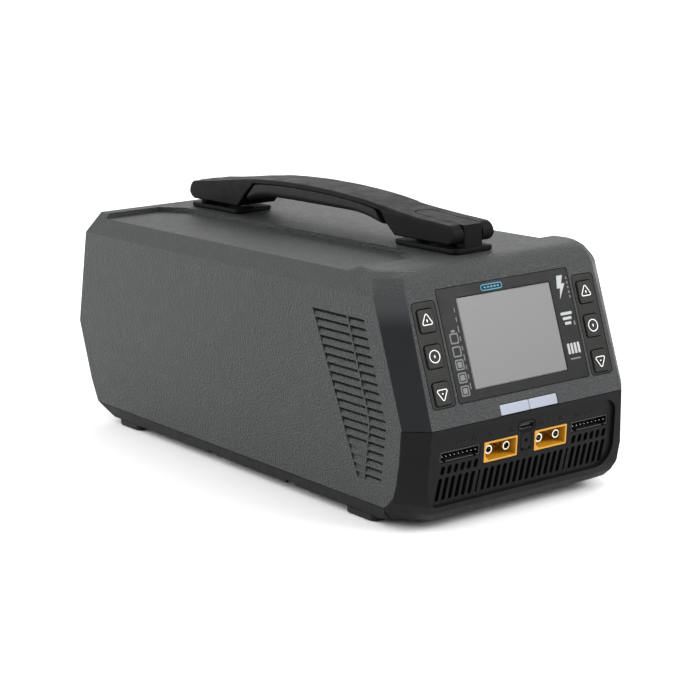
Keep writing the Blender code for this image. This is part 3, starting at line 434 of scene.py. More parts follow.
display = {"window": (80.8, 53.9, 36.8), "windowRound": 0.9, "screen": (57.4, 43.4, 36.5), "screenX": -0.75,
           "strip": (13.5, 49.8, 34.4), "stripX": 49.1, "stripRound": 2.0,
           "key": (9.4, 11.0), "keyStations": (50.4, 33.6, 16.1), "keyRound": 1.5, "keyProud": 0.7,
           "bar": (35.2, 5.0, 2.8), "panel": 2.4}
louvre = {"rows": 19, "top": 99.4, "pitch": 4.15, "lean": 0.306, "knee": 50.5, "kneeLean": 0.2,
          "frontY": 36.9, "rearY": 79.0, "rearLean": 0.42, "column": 13.0, "rib": 1.1, "shortest": 1.2,
          "slotHigh": 1.55, "deep": 0.9, "edge": 0.3, "blindRow": 15,
          "filter": ((30, 19.5), (62, 19.5), (84, 103), (30, 103)), "filterX": (65.0, 65.6)}
# which faces of the front corners get the painted shade, chosen by the way they face, and the heights where it
# fades back to the grey
cornerPaintedShade = {"fade": (case["crease"] - 15, case["crease"] - 3), "across": (0.55, 0.88), "along": -0.35,
               "rise": 0.42}
roof = {"channel": 2.8, "inner": 17.5, "wideInner": 27, "front": 58.5, "ramp": 47, "back": 295.5}


def louvreColumns(z):
    down = louvre["top"] - z
    lead = louvre["frontY"] - louvre["lean"] * min(down, louvre["top"] - louvre["knee"])
    lead += max(0.0, louvre["knee"] - z) * louvre["kneeLean"]
    inner = lead + louvre["column"]
    return (lead, inner), (inner + louvre["rib"], louvre["rearY"] - louvre["rearLean"] * down)


def louvreCells(work, side):  # each slat slopes in, up to a narrow slot
    face, slotHigh, deep = case["halfWidth"], louvre["slotHigh"], louvre["deep"]
    for row in range(louvre["rows"]):
        top = louvre["top"] - row * louvre["pitch"]
        low = top - louvre["pitch"] + louvre["edge"]
        blind = row >= louvre["blindRow"]
        columns = [louvreColumns(z) for z in (top, top - slotHigh, low)]
        for column, ((highA, highB), (midA, midB), (lowA, lowB)) in enumerate(zip(*columns)):
            if highB - highA < louvre["shortest"]:
                continue
            lowB, midB = max(lowB, lowA + 0.3), max(midB, midA + 0.3)
            wedge = [(lowA, low), (lowB, low), (highB, top), (highA, top)]
            slot = [(midA, top - slotHigh), (midB, top - slotHigh), (highB, top), (highA, top)]
            loops = [(face + 2, wedge, 0), (face, wedge, 0), (face - deep, slot, 0)]
            if not (blind and column == 1):
                loops.append((face - 6, slot, 2.0))
            stack(work, [[(side * x, y, z + rise) for y, z in points] for x, points, rise in loops])


def roofChannel(work, side):
    r = roof
    low = [(r["inner"], 76), (r["wideInner"], r["front"]), (80, r["front"]), (80, r["back"]),
           (r["wideInner"], r["back"]), (r["inner"], 279)]
    high = [(x, y - (r["front"] - r["ramp"]) if y == r["front"] else y) for x, y in low]
    rings = [[work.verts.new((side * x, y, z)) for x, y in line]
             for line, z in ((low, case["top"] - r["channel"]), (high, case["top"] + 1.0))]
    work.faces.new(rings[0])
    work.faces.new(rings[1])
    for i in range(6):
        j = (i + 1) % 6
        work.faces.new((rings[0][i], rings[0][j], rings[1][j]))
        work.faces.new((rings[0][i], rings[1][j], rings[1][i]))


def faceOpenings(work):
    gap = case["gap"]
    wide, high, mid = display["window"]
    prism(work, roundRect(0, mid, wide + 2 * gap, high + 2 * gap, display["windowRound"] + gap), -8, 8)
    wide, high, mid = display["strip"]
    for side in (-1, 1):
        prism(work, roundRect(side * display["stripX"], mid, wide + 2 * gap, high + 2 * gap,
                              display["stripRound"] + gap), -8, 8)
    wide, high, mid = display["bar"]
    prism(work, roundRect(0, mid + high / 2 + gap - 5, wide + 2 * gap, 10, (0.1, 0.1, 0.9, 0.9)), -8, 8)


def makeShell():
    shell = caseSolid("shell")
    carve(shell, cavity(), bezelZone(0), panZone(0))
    carve(shell, solid("openings", faceOpenings, slopeFrame),
          *[solid(f"channel{side}", lambda work: roofChannel(work, side)) for side in (-1, 1)])
    soften(shell, 0.35, 2, 38)
    carve(shell, *[solid(f"cells{side}", lambda work: louvreCells(work, side)) for side in (-1, 1)])
    filters = [(block(louvre["filter"], side * louvre["filterX"][0], side * louvre["filterX"][1], axis="x"),
                socketPlastic) for side in (-1, 1)]
    item = show("mainShell", [(shell, greyShell)] + filters, ["main_shell"])
    # painted shade: faces that look diagonally forward at both front corners get the darker copy of the grey,
    # fading back to the grey towards the crease
    fadeTone(paintedShadeStrip, *cornerPaintedShade["fade"], greyTone, greyShine)
    item.data.materials.append(paintedShadeStrip)
    for polygon in item.data.polygons:
        x, y, z = polygon.normal
        leans = (cornerPaintedShade["across"][0] < abs(x) < cornerPaintedShade["across"][1] and y < cornerPaintedShade["along"]
                 and abs(z) < cornerPaintedShade["rise"])
        if leans and polygon.material_index == 0 and polygon.center.z < case["crease"] * mm:
            polygon.material_index = len(filters) + 1


makeShell()
print("grey shell made")


# front bezel with its grille and recess

through = (-8, 24)  # depth of a cut right through the front
bezel = {"recess": (-57.3, 55.8, 3.6, 38.2), "recessDepth": 1.8, "recessRound": (3, 12, 7, 3), "wall": 4.4,
         "slotFirst": -52.5, "slotPitch": 3.92, "slots": 27, "thinSlots": (6, 20), "slotWidth": 2.3,
         "thinWidth": 1.2,
         "long": (24.8, 35.9), "short": (19.1, 23.3), "shortPitch": 3.95, "shortSlots": 6, "lean": 11.5,
         "powerX": 15.6, "powerQ": 17.2, "power": (20.4, 10.1, 18.0),
         "balanceX": 40.5, "balanceQ": 14.7, "balance": (23.7, 4.9, 9.0),
         "usb": (10.6, 4.3, 8.0, 8.2), "insert": (6.3, 8.8, 6.0, 15.9)}


def grilleSlots(work):
    lean = math.radians(bezel["lean"])
    runs = [(bezel["slotFirst"] + i * bezel["slotPitch"], bezel["long"],
             bezel["thinWidth"] if i in bezel["thinSlots"] else bezel["slotWidth"])
            for i in range(bezel["slots"])]
    for side in (-1, 1):
        runs += [(side * bezel["balanceX"] + (i - (bezel["shortSlots"] - 1) / 2) * bezel["shortPitch"],
                  bezel["short"], bezel["slotWidth"]) for i in range(bezel["shortSlots"])]
    for x, (top, bottom), width in runs:
        mid = -(top + bottom) / 2
        outline = roundRect(x, mid, width, bottom - top, width * 0.42, 3)
        prism(work, leaned(outline, x, mid, lean), *through)


def socketOpenings(work):
    gap = case["gap"]
    for side in (-1, 1):
        prism(work, roundRect(side * bezel["powerX"], -bezel["powerQ"], bezel["power"][0] + 2 * gap,
                              bezel["power"][1] + 2 * gap, 0.4, 2), *through)
        prism(work, roundRect(side * bezel["balanceX"], -bezel["balanceQ"], bezel["balance"][0] + 2 * gap,
                              bezel["balance"][1] + 2 * gap, 0.5, 2), *through)
    wide, high, deep, q = bezel["usb"]
    prism(work, roundRect(0, -q, wide + 2 * gap, high + 2 * gap, 2.2), *through)
    wide, high, deep, q = bezel["insert"]
    prism(work, roundRect(0, -q, wide + 2 * gap, high + 2 * gap, 0.9), *through)


def recessTool(work):
    left, right, top, bottom = bezel["recess"]
    outline = roundRect((left + right) / 2, -(top + bottom) / 2, right - left, bottom - top,
                        bezel["recessRound"], 8)
    prism(work, outline, -10, bezel["recessDepth"])


marks = {"low": -0.28, "high": 0.2, "q": 8.8, "ring": 1.25, "line": 0.3, "powerX": (9.4, 21.8), "cellsX": 31.8}


def ringMark(work, x, q, radius, low, high):
    ringPrism(work, circle(x, -q, radius, 20), circle(x, -q, radius - marks["line"], 20), low, high)


def portMarks(work):  # small raised signs over the sockets
    q, low, high = marks["q"], bezel["recessDepth"] + marks["low"], bezel["recessDepth"] + marks["high"]
    for side in (-1, 1):
        for x in marks["powerX"]:
            ringMark(work, side * x, q, marks["ring"], low, high)
            prism(work, roundRect(side * x, -q, 1.0, 0.28, 0.1, 1), low, high)
        prism(work, roundRect(side * marks["powerX"][0], -q, 0.28, 0.36, 0.08, 1), low - 0.02, high + 0.02)
        for i in range(5):
            x = side * bezel["balanceX"] + (i - 2) * 1.5
            prism(work, roundRect(x, -q - 0.3, 0.7, 1.6 if i % 2 else 1.1, 0.2, 1), low, high)
        ringMark(work, side * marks["cellsX"], q + 0.1, marks["ring"] + 0.1, low, high)


def makeBezel():
    part = caseSolid("bezel")
    carve(part, cavity(bezel["wall"]))
    carve(part, bezelZone(case["gap"]), operation="INTERSECT")
    carve(part, solid("recess", recessTool, lowerFrame))
    soften(part, 0.4, 2, 38)
    carve(part, solid("sockets", socketOpenings, lowerFrame), solid("slots", grilleSlots, lowerFrame))
    signs = solid("signs", portMarks, lowerFrame)
    show("frontBezel", [(part, blackPlastic), (signs, keyCap)], ["front_bezel"])


makeBezel()
print("front bezel made")


# pan and feet

feet = {"wide": 13.0, "x": 59.3, "ranges": ((38, 63), (264, 288)), "high": 3.4, "ridges": 4}
pan = {"screwX": 48, "screwY": (75, 252), "clipX": 66, "clipY": (108.5, 183), "slots": 12, "slotFirst": 120,
       "slotPitch": 7}


def makePan():
    part = caseSolid("pan")
    carve(part, cavity())
    carve(part, panZone(case["gap"]), operation="INTERSECT")
    soften(part, 0.3, 2, 38)
    def wells(work):
        for side in (-1, 1):
            for y in pan["screwY"]:
                prism(work, circle(side * pan["screwX"], y, 3.4, 20), -1, 5.0, "z")
        for y in pan["clipY"]:
            for side in (-1, 1):
                prism(work, roundRect(side * pan["clipX"], y, 8, 8, 0.5, 2), 0, 5.2, "z")
        for i in range(pan["slots"]):
            prism(work, roundRect(0, pan["slotFirst"] + i * pan["slotPitch"], 60, 2.6, 1.2, 3), 0, 12, "z")
    carve(part, solid("wells", wells))
    def screws(work):
        for side in (-1, 1):
            for y in pan["screwY"]:
                x = side * pan["screwX"]
                ringPrism(work, circle(x, y, 2.7, 18), circle(x, y, 1.2, 18, 0.2), 5.2, 6.4, "z")
                prism(work, circle(x, y, 1.1, 6), 5.8, 6.4, "z")
    show("bottomPan", [(part, blackPlastic), (solid("panScrews", screws), platedScrew)], ["bottom_pan"])
    for word, (y0, y1) in zip(("front", "rear"), feet["ranges"]):
        for side, hand in ((-1, "left"), (1, "right")):
            def pad(work):
                middle, x = (y0 + y1) / 2, side * feet["x"]
                prism(work, roundRect(x, middle, feet["wide"], y1 - y0, 4.2, 6), 0.35, feet["high"], "z")
            def ridges(work):
                for i in range(feet["ridges"]):
                    y = y0 + (i + 0.5) * (y1 - y0) / feet["ridges"]
                    prism(work, roundRect(side * feet["x"], y, feet["wide"] - 3.4, 3.2, 1.4, 3), 0.0, 0.6, "z")
            show(f"foot_{word}_{hand}", [(soften(solid("pad", pad), 0.5, 3), softRubber),
                                         (solid("ridges", ridges), softRubber)],
                 [f"foot_{word}_{hand}"])


makePan()
print("pan and feet made")


# display window, screen and light bar

ink = (-0.06, 0.05)  # front and back of the print on the window


def chargeScale(work):  # printed cells up the left side, filled from the bottom
    for i in range(5):
        z = 15.2 + i * 6.2
        ringPrism(work, roundRect(-35.4, z, 4.9, 5.0, 0.7, 3), roundRect(-35.4, z, 3.7, 3.8, 0.4, 3), *ink)
        if i < 3:
            prism(work, roundRect(-35.4, z, 2.6, 2.7, 0.3, 2), *ink)
    prism(work, roundRect(-35.4, 43.5, 2.2, 1.1, 0.2, 2), *ink)


def windowMarks(work):  # generic printed signs in place of figures
    bolt = [(33.2, 60.5), (36.9, 60.5), (35.3, 56.4), (37.4, 56.4), (32.6, 49.0), (34.0, 54.3), (32.0, 54.3)]
    prism(work, bolt, *ink)
    for i in range(3):  # current sign: three level bars
        prism(work, roundRect(34.4, 41.8 - i * 2.4, 7.2 - 1.6 * i, 1.4, 0.4, 2), *ink)
    for i in range(4):  # cells sign
        prism(work, roundRect(31.4 + i * 2.1, 24.6, 1.4, 5.2, 0.3, 2), *ink)


def fineMarks(work):
    for i in range(9):
        prism(work, roundRect(-31.9, 17 + i * 4.5, 0.5, 2.2 if i % 3 else 3.2, 0.15, 1), *ink)
    for i in range(5):
        prism(work, roundRect(39.0, 49.6 + i * 2.3, 0.7, 1.3, 0.15, 1), *ink)
    prism(work, roundRect(38.4, 36.6, 0.9, 2.0, 0.2, 1), *ink)
    prism(work, roundRect(34.4, 19.6, 6.4, 0.7, 0.2, 1), *ink)


def windowTag(work):
    ringPrism(work, roundRect(-7.4, 61.0, 13.0, 3.0, 1.2, 4), roundRect(-7.4, 61.0, 12.3, 2.3, 0.9, 4), *ink)
    for i in range(5):
        prism(work, roundRect(-11.4 + i * 2.0, 61.0, 1.3, 0.7, 0.2, 1), *ink)


def makeDisplay():
    thick = display["panel"]
    wide, high, mid = display["window"]
    screenWide, screenHigh, screenMid = display["screen"]
    x = display["screenX"]
    pane = block(roundRect(0, mid, wide, high, display["windowRound"]), 0, thick, slopeFrame)
    backing = block(roundRect(0, mid, wide + 3.6, high + 3.0, 1.0, 2), 2.78, 3.4, slopeFrame)
    carve(pane, block(roundRect(x, screenMid, screenWide + 0.6, screenHigh + 0.6, 0.9), -2, thick + 2,
                      slopeFrame))
    soften(pane, 0.25, 2)
    show("displayWindow", [(pane, tintedWindow), (backing, socketPlastic),
                           (solid("signs", windowMarks, slopeFrame), greyPrint),
                           (solid("chargeScale", chargeScale, slopeFrame), dimPrint),
                           (solid("fineSigns", fineMarks, slopeFrame), dimPrint),
                           (solid("tag", windowTag, slopeFrame), bluePrint)],
         ["display_window"])
    edge = block(roundRect(x, screenMid, screenWide, screenHigh, 0.6), 0.25, thick + 0.1, slopeFrame)
    lit = block(roundRect(x, screenMid, screenWide - 0.9, screenHigh - 0.9, 0.3), 0.1, 0.4, slopeFrame)
    show("displayScreen", [(lit, screenFace), (edge, screenEdge)], ["display_screen"])
    wide, high, mid = display["bar"]
    def halves(work):
        for side in (-1, 1):
            prism(work, roundRect(side * (wide / 4 + 0.04), mid, wide / 2 - 0.16, high, 0.6), 0.0, thick / 2)
    def backing(work):
        prism(work, roundRect(0, mid + 0.6, wide + 3, high + 2.4, 0.5, 2), 2.78, 3.3)
    def spine(work):
        prism(work, roundRect(0, mid, 0.8, high - 0.6, 0.2, 2), 0.15, thick / 2 - 0.1)
    show("lightBar", [(soften(solid("halves", halves, slopeFrame), 0.3, 2), lightGuide),
                      (solid("spine", spine, slopeFrame), dimPrint),
                      (solid("backing", backing, slopeFrame), socketPlastic)], ["light_bar"])


makeDisplay()
print("display made")


# key strips and keys

keySigns = {"stroke": 0.42, "circle": 3.1, "triangle": 4.2, "corner": 0.9, "print": 0.07}


def roundTriangle(size, radius, turn, steps=4):
    points = []
    for a in (turn + 2 * math.pi * k / 3 for k in range(3)):
        x, z = (size - 2 * radius) * math.cos(a), (size - 2 * radius) * math.sin(a)
        points += [(x + radius * math.cos(a + t), z + radius * math.sin(a + t)) for t in
                   [math.radians(120 * i / steps - 60) for i in range(steps + 1)]]
    return points


def keySign(work, number, front):
    stroke, corner = keySigns["stroke"], keySigns["corner"]
    low, high = front - keySigns["print"], front + 0.1
    if number == 2:
        size = keySigns["circle"]
        ringPrism(work, circle(0, 0, size, 28), circle(0, 0, size - stroke, 28), low, high)
    else:
        turn = math.pi / 2 if number == 1 else -math.pi / 2
        size = keySigns["triangle"]
        inner = roundTriangle(size - stroke * 2, corner - stroke, turn)
        ringPrism(work, roundTriangle(size, corner, turn), inner, low, high)
    prism(work, roundRect(0, 0, 0.9, 0.5, 0.12, 1), low, high)
    if number != 3:
        prism(work, roundRect(0, 0, 0.4, 1.5, 0.12, 1), low - 0.01, high + 0.01)


def makeKeys():
    thick = display["panel"]
    for side, hand in ((-1, "left"), (1, "right")):
        stripWide, stripHigh, stripMid = display["strip"]
        x = side * display["stripX"]
        strip = block(roundRect(x, stripMid, stripWide, stripHigh, display["stripRound"]), 0, thick, slopeFrame)
        def holes(work):
            for station in display["keyStations"]:
                prism(work, roundRect(x, station, display["key"][0] + 0.6, display["key"][1] + 0.6,
                                      display["keyRound"] + 0.3), -3, thick + 3)
        carve(strip, solid("holes", holes, slopeFrame))
        soften(strip, 0.25, 2)
        backing = block(roundRect(x, stripMid, stripWide + 2.6, stripHigh + 3, 1.0, 2), 4.2, 4.8, slopeFrame)
        show(f"keyStrip_{hand}", [(strip, keyStrip), (backing, socketPlastic)], [f"key_strip_{hand}"])
        for number, station in enumerate(display["keyStations"], 1):
            place = slopeFrame @ Matrix.Translation((x, 0, station))
            front = -display["keyProud"]
            cap = block(roundRect(0, 0, *display["key"], display["keyRound"], 6), front, front + 3.7, place)
            soften(cap, 0.55, 3)
            sign = solid("sign", lambda work: keySign(work, number, front), place)
            name = f"key_{hand}_{number}"
            show(name, [(cap, keyCap), (sign, whitePrint)], [name], body=name)


makeKeys()
print("keys made")


# sockets

power = {"rim": 0.95, "cavity": 12.0, "pinPitch": 10.9, "pin": 2.25, "pinHole": 1.5, "pinStart": 2.5}


def makePowerSocket(name, place):
    wide, high, deep = bezel["power"]
    innerWide, innerHigh = wide - 2 * power["rim"], high - 2 * power["rim"]
    half = power["pinPitch"] / 2
    body = block(roundRect(0, 0, wide, high, 0.35, 2), 0, deep, place)
    cavityTool = block(cutCorners(0, 0, innerWide, innerHigh, (2.0, 0.2, 0.2, 2.0)), -2, power["cavity"], place)
    def pinHoles(work):
        for side in (-1, 1):
            prism(work, circle(side * half, 0, power["pin"] + 0.3), power["cavity"] - 1, deep + 2)
    carve(body, cavityTool, solid("pinHoles", pinHoles, place))
    soften(body, 0.2, 2, 50)
    show(f"{name}_housing", [(body, amberNylon)], [f"{name}_housing"])
    for side, word in ((-1, "a"), (1, "b")):
        pin = block(circle(side * half, 0, power["pin"], 28), power["pinStart"], deep, place)
        bore = block(circle(side * half, 0, power["pinHole"], 28), 0, power["pinStart"] + 8, place)
        carve(pin, bore)
        soften(pin, 0.18, 2, 50)
        show(f"{name}_pin_{word}", [(pin, pinMetal)], [f"{name}_pin_{word}"])


def makeBalanceSocket(hand, side):
    wide, high, deep = bezel["balance"]
    place = lowerFrame @ Matrix.Translation((side * bezel["balanceX"], bezel["recessDepth"] + 0.1,
                                             -bezel["balanceQ"]))
    body = block(roundRect(0, 0, wide, high, 0.4, 2), 0, deep, place)
    def inner(work):
        prism(work, roundRect(0, 0, wide - 1.1, high - 1.0, 0.2, 1), -2, 7.0)
    def keyways(work):
        for x in (-9.0, 9.0):
            prism(work, roundRect(x, -high / 2, 1.4, 2.4, 0.1, 1), -2, 5)
    carve(body, solid("inner", inner, place))
    carve(body, solid("keyways", keyways, place))
    soften(body, 0.15, 1, 50)
    def pins(work):
        for i in range(9):
            x = (i - 4) * 2.5
            rings = [[(x + sx * r, y, sz * r) for sx, sz in ((-1, -1), (1, -1), (1, 1), (-1, 1))]
                     for y, r in ((0.9, 0.16), (1.35, 0.34), (7.4, 0.34))]
            stack(work, rings)
    show(f"balanceSocket_{hand}", [(body, socketPlastic), (solid("pins", pins, place), pinMetal)],
         [f"balance_socket_{hand}"])


def makeSmallPorts():
    wide, high, deep, q = bezel["usb"]
    place = lowerFrame @ Matrix.Translation((0, bezel["recessDepth"], -q))
    body = block(roundRect(0, 0, wide, high, 1.9), 0, deep, place)
    carve(body, block(roundRect(0, 0, 8.7, 2.9, 1.4), -2, 6.4, place))
    soften(body, 0.25, 2, 50)
    outer, inner = roundRect(0, 0, 8.66, 2.86, 1.38), roundRect(0, 0, 8.2, 2.4, 1.15)
    liner = solid("liner", lambda work: ringPrism(work, outer, inner, 0.5, 6.3), place)
    tongue = block(roundRect(0, 0, 6.4, 0.8, 0.2, 2), 1.4, 6.5, place)
    show("usbPort", [(body, blackPlastic), (liner, platedScrew), (tongue, socketPlastic)], ["usb_port"])
    wide, high, deep, q = bezel["insert"]
    place = lowerFrame @ Matrix.Translation((0, bezel["recessDepth"], -q))
    body = block(roundRect(0, 0, wide, high, 0.7), 0, deep, place)
    def dents(work):
        prism(work, circle(0, 0.3, 0.8, 20), -1, 4)
        for side in (-1, 1):
            prism(work, roundRect(side * 2.2, -high / 2, 1.1, 2.2, 0.2, 2), -1, 0.8)
    carve(body, solid("dents", dents, place))
    soften(body, 0.2, 2, 50)
    show("serviceInsert", [(body, blackPlastic)], ["service_insert"])


for side, hand in ((-1, "left"), (1, "right")):
    spot = Matrix.Translation((side * bezel["powerX"], bezel["recessDepth"], -bezel["powerQ"]))
    makePowerSocket(f"output_{hand}", lowerFrame @ spot)
    makeBalanceSocket(hand, side)
makeSmallPorts()
print("front sockets made")


# handle

handle = {"mid": case["length"] / 2, "reach": 121.4, "half": 12.8, "skin": 2.3,
          "insertLow": 134.9, "post": 5.7, "tongue": 2.5, "round": 2.3, "tip": 4.6, "tipMid": 131.2,
          "insertShort": 60.5, "droop": 4.6, "droopOver": 24, "insertLeans": (0.75, 1.2), "leanFrom": 134}


gripBack = [(28, 134.4), (39, 135.7), (47, 136.3), (68, 137.4), (90, 139.4), (115, 142.3), (142, 144.1),
            (165, 144.7), (180, 144.8), (208, 143.9), (232, 141.9), (257, 139.0), (272, 137.7), (287, 136.5), (298, 135.6)]
armEnds = {-1: [(47.0, 126.5), (53.6, 132.0), (57.6, 137.6)], 1: [(50.5, 126.9), (59, 134.4), (66, 139.6)]}


def gripTop(y):  # a smooth curve through gripBack
    after = next(i for i, p in enumerate(gripBack) if p[0] >= y or p is gripBack[-1])
    last = max(1, min(len(gripBack) - 3, after - 1))
    (y0, z0), (y1, z1), (y2, z2), (y3, z3) = gripBack[last - 1:last + 3]
    t, span = (y - y1) / (y2 - y1), y2 - y1
    slope1, slope2 = (z2 - z0) / (y2 - y0) * span, (z3 - z1) / (y3 - y1) * span
    return ((2 * t ** 3 - 3 * t ** 2 + 1) * z1 + (t ** 3 - 2 * t ** 2 + t) * slope1
            + (3 * t ** 2 - 2 * t ** 3) * z2 + (t ** 3 - t ** 2) * slope2)


def armLow(y, d, end):  # the grip's underside, d from its nearer tip
    ends = armEnds[end]
    if d < handle["tip"]:
        curve = math.sqrt(1 - (1 - d / handle["tip"]) ** 2)
        return handle["tipMid"] - (handle["tipMid"] - ends[0][1]) * curve
    if d <= ends[0][0]:
        return ends[0][1]
    skinned = gripTop(y) - handle["skin"]
    for (a, za), (b, zb) in zip(ends, ends[1:]):
        if d <= b:
            return min(skinned, za + (zb - za) * (d - a) / (b - a))
    d0, z0 = ends[-1]
    return min(skinned, z0 + (d - d0) * 1.5)


def gripSections(work):
    tip, reach = handle["tip"], handle["reach"]
    loops = []
    for end in (-1, 1):
        arm = armEnds[end][0][0]
        near = [0.02] + [tip * (1 - math.cos(math.pi / 2 * i / 9)) for i in range(1, 10)]
        near += [tip + 5, 20, 30, 40, arm - 1, arm] + [arm + 1.5 * i for i in range(1, 14)]
        near += [near[-1] + (reach - near[-1]) * i / 9 for i in range(1, 10)]
        half = []
        for d in near if end < 0 else near[-2::-1]:
            y = handle["mid"] + end * (reach - d)
            low, top = armLow(y, d, end), gripTop(y)
            if d < tip:
                top = handle["tipMid"] + (top - handle["tipMid"]) * math.sqrt(1 - (1 - d / tip) ** 2)
            high = top - low
            ease = min(1, max(0, (d - 30) / 35))
            curveHigh, curveLow = min(1.1 + handle["round"] * ease, high * 0.8), min(1.0, high * 0.15)
            outline = roundRect(0, (low + top) / 2, 2 * handle["half"], high,
                                (curveLow, curveLow, curveHigh, curveHigh), 5)
            half.append([(x, y, z) for x, z in outline])
        loops += half
    stack(work, loops)


def insertSections(work):  # the soft pad under the grip, its ends slanted like the arms
    span = handle["reach"] - handle["insertShort"]
    loops = []
    for i in range(33):
        t = -math.cos(math.pi * i / 32)
        y = handle["mid"] + t * span
        away = (1 - abs(t)) * span
        inset = 0.5 * max(0, 1 - away / 1.2)
        top = gripTop(y) - handle["skin"] - 0.3 - inset
        low = handle["insertLow"] - handle["droop"] * max(0, 1 - away / handle["droopOver"]) ** 2 + inset
        high = top - low
        curve = min(3.6, high * 0.48)
        outline = roundRect(0, (low + top) / 2, 2 * (handle["half"] - 0.4 - inset), high,
                            (curve, curve, 0.2, 0.2), 5)
        lean = -math.copysign(abs(t) ** 5, t) * handle["insertLeans"][t >= 0]
        loops.append([(x, y + (z - handle["leanFrom"]) * lean, z) for x, z in outline])
    stack(work, loops)


def tongueSolid(work, end, grow, depth, rise):  # follows the grip's back, with a round nose
    tip = handle["mid"] + end * handle["reach"]
    half = handle["post"] + grow
    stations = [(-10 if grow else 0.2, half)] + [(12 * i, half) for i in (1, 2)] + [(35.5, half)]
    stations += [(35.5 + grow + 6 * math.sin(a), max(0.5, half * math.cos(a))) for a in
                 [math.pi / 2 * i / 6 for i in range(1, 7)]]
    loops = []
    for away, wide in stations:
        y = tip - end * away
        top = gripTop(y)
        loops.append([(-wide, y, top - depth), (wide, y, top - depth), (wide, y, top + rise),
                      (-wide, y, top + rise)])
    stack(work, loops)


def makeHandle():
    grip = solid("grip", gripSections)
    post = handle["post"] + case["gap"]
    for end in (-1, 1):
        tip = handle["mid"] + end * handle["reach"]
        gapTool = block(roundRect(0, tip, 2 * post, 14, 0.2, 1), 110, 160, axis="z")
        pocket = solid("pocket", lambda work: tongueSolid(work, end, 0.5, handle["tongue"] + 0.3, 25))
        carve(grip, gapTool)
        carve(grip, pocket)
    show("handleGrip", [(grip, handlePlastic)], ["handle_grip"])

    pad = solid("pad", insertSections)
    show("gripInsert", [(pad, softRubber)], ["grip_insert"])

    for end, word in ((-1, "front"), (1, "rear")):
        low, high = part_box(f"bracket_{word}")
        y0, y1 = (low.y - cadLow.y) / mm, (high.y - cadLow.y) / mm
        plateLow, plateHigh = low.z / mm, low.z / mm + 2.5
        tip = handle["mid"] + end * handle["reach"]
        plate = block(roundRect(0, (y0 + y1) / 2, high.x / mm * 2, y1 - y0, 3.0, 5), plateLow, plateHigh,
                      axis="z")
        soften(plate, 0.6, 3)
        postPart = block(roundRect(0, tip - end * 3.1, 2 * handle["post"], 6, 0.8, 3), plateHigh - 0.4, 134.6,
                         axis="z")
        tongue = solid("tongue", lambda work: tongueSolid(work, end, 0.0, handle["tongue"], 0.0))
        soften(tongue, 0.35, 2)
        show(f"bracket_{word}Piece", [(plate, handlePlastic), (postPart, handlePlastic),
                                      (tongue, handlePlastic)],
             [f"bracket_{word}"])


makeHandle()
print("handle made")


# rear: panel, mains inlet, rocker, supply input

rear = {"panelY": 296.5, "fanX": 31.0, "fanZ": 84.0, "rotor": 22.5, "slots": 9, "slotPitch": 5.0,
        "slotHigh": 2.8, "rowZ": 34.0, "inletX": -40.0, "rockerX": -4.0, "rocker": (13.0, 19.0), "swing": 10.0,
        "dcX": 38.0, "fanScrew": 20.5}
rear["face"] = rear["panelY"] + case["wall"]
rearThrough = (280, 310)
rearFrame = Matrix.Translation((0, cadLow.y + rear["face"] * mm, 0)) @ Matrix.Rotation(math.pi, 4, "Z") @ unit


def screwHead(work, x, z, front, radius=2.4):  # round head with a round socket, facing the rear
    ringPrism(work, circle(x, z, radius, 18), circle(x, z, radius * 0.5, 18), front, front + 1.3)
    prism(work, circle(x, z, radius * 0.46, 18), front, front + 0.5)


def makeRearPanel():
    clear = 0.4
    low, high = case["pan"] + case["floor"] + clear, case["top"] - case["roof"] - clear
    levels = [low] + [z for z in heights if low < z < high] + [high]
    panel = caseSolid("panel", levels, case["wall"] + clear, case["length"], rounded=False)
    slab = block(roundRect(0, 60, 200, 200, 0.1, 1), rear["panelY"], rear["face"])
    carve(panel, slab, operation="INTERSECT")
    def fanSlots(work):
        for side in (-1, 1):
            for i in range(rear["slots"]):
                rise = (i - (rear["slots"] - 1) / 2) * rear["slotPitch"]
                half = math.sqrt(rear["rotor"] ** 2 - rise ** 2) + 1.0
                slot = roundRect(side * rear["fanX"], rear["fanZ"] + rise, 2 * half, rear["slotHigh"], 1.3, 4)
                prism(work, slot, *rearThrough)
    def openings(work):
        prism(work, roundRect(rear["inletX"], rear["rowZ"], 27.6, 20.0, 0.4, 2), *rearThrough)
        wide, tall = rear["rocker"]
        prism(work, roundRect(rear["rockerX"], rear["rowZ"], wide + 0.6, tall + 0.6, 0.4, 2), *rearThrough)
        wide, tall = bezel["power"][0] + 0.6, bezel["power"][1] + 0.6
        prism(work, roundRect(rear["dcX"], rear["rowZ"], wide, tall, 0.3, 2), *rearThrough)
    carve(panel, solid("fanSlots", fanSlots), solid("openings", openings))
    soften(panel, 0.35, 2, 38)
    def screws(work):
        for side in (-1, 1):
            for dx in (-1, 1):
                for dz in (-1, 1):
                    screwHead(work, side * rear["fanX"] + dx * rear["fanScrew"],
                              rear["fanZ"] + dz * rear["fanScrew"], rear["face"] - 0.1)
    def frames(work):  # raised ring round each fan grille
        for side in (-1, 1):
            x, z = side * rear["fanX"], rear["fanZ"]
            ringPrism(work, circle(x, z, 25.4, 64), circle(x, z, 24.4, 64), rear["face"] - 0.3,
                      rear["face"] + 0.5)
    show("rearPanel", [(panel, blackPlastic), (solid("screws", screws), platedScrew),
                       (solid("frames", frames), blackPlastic)], ["rear_panel"])


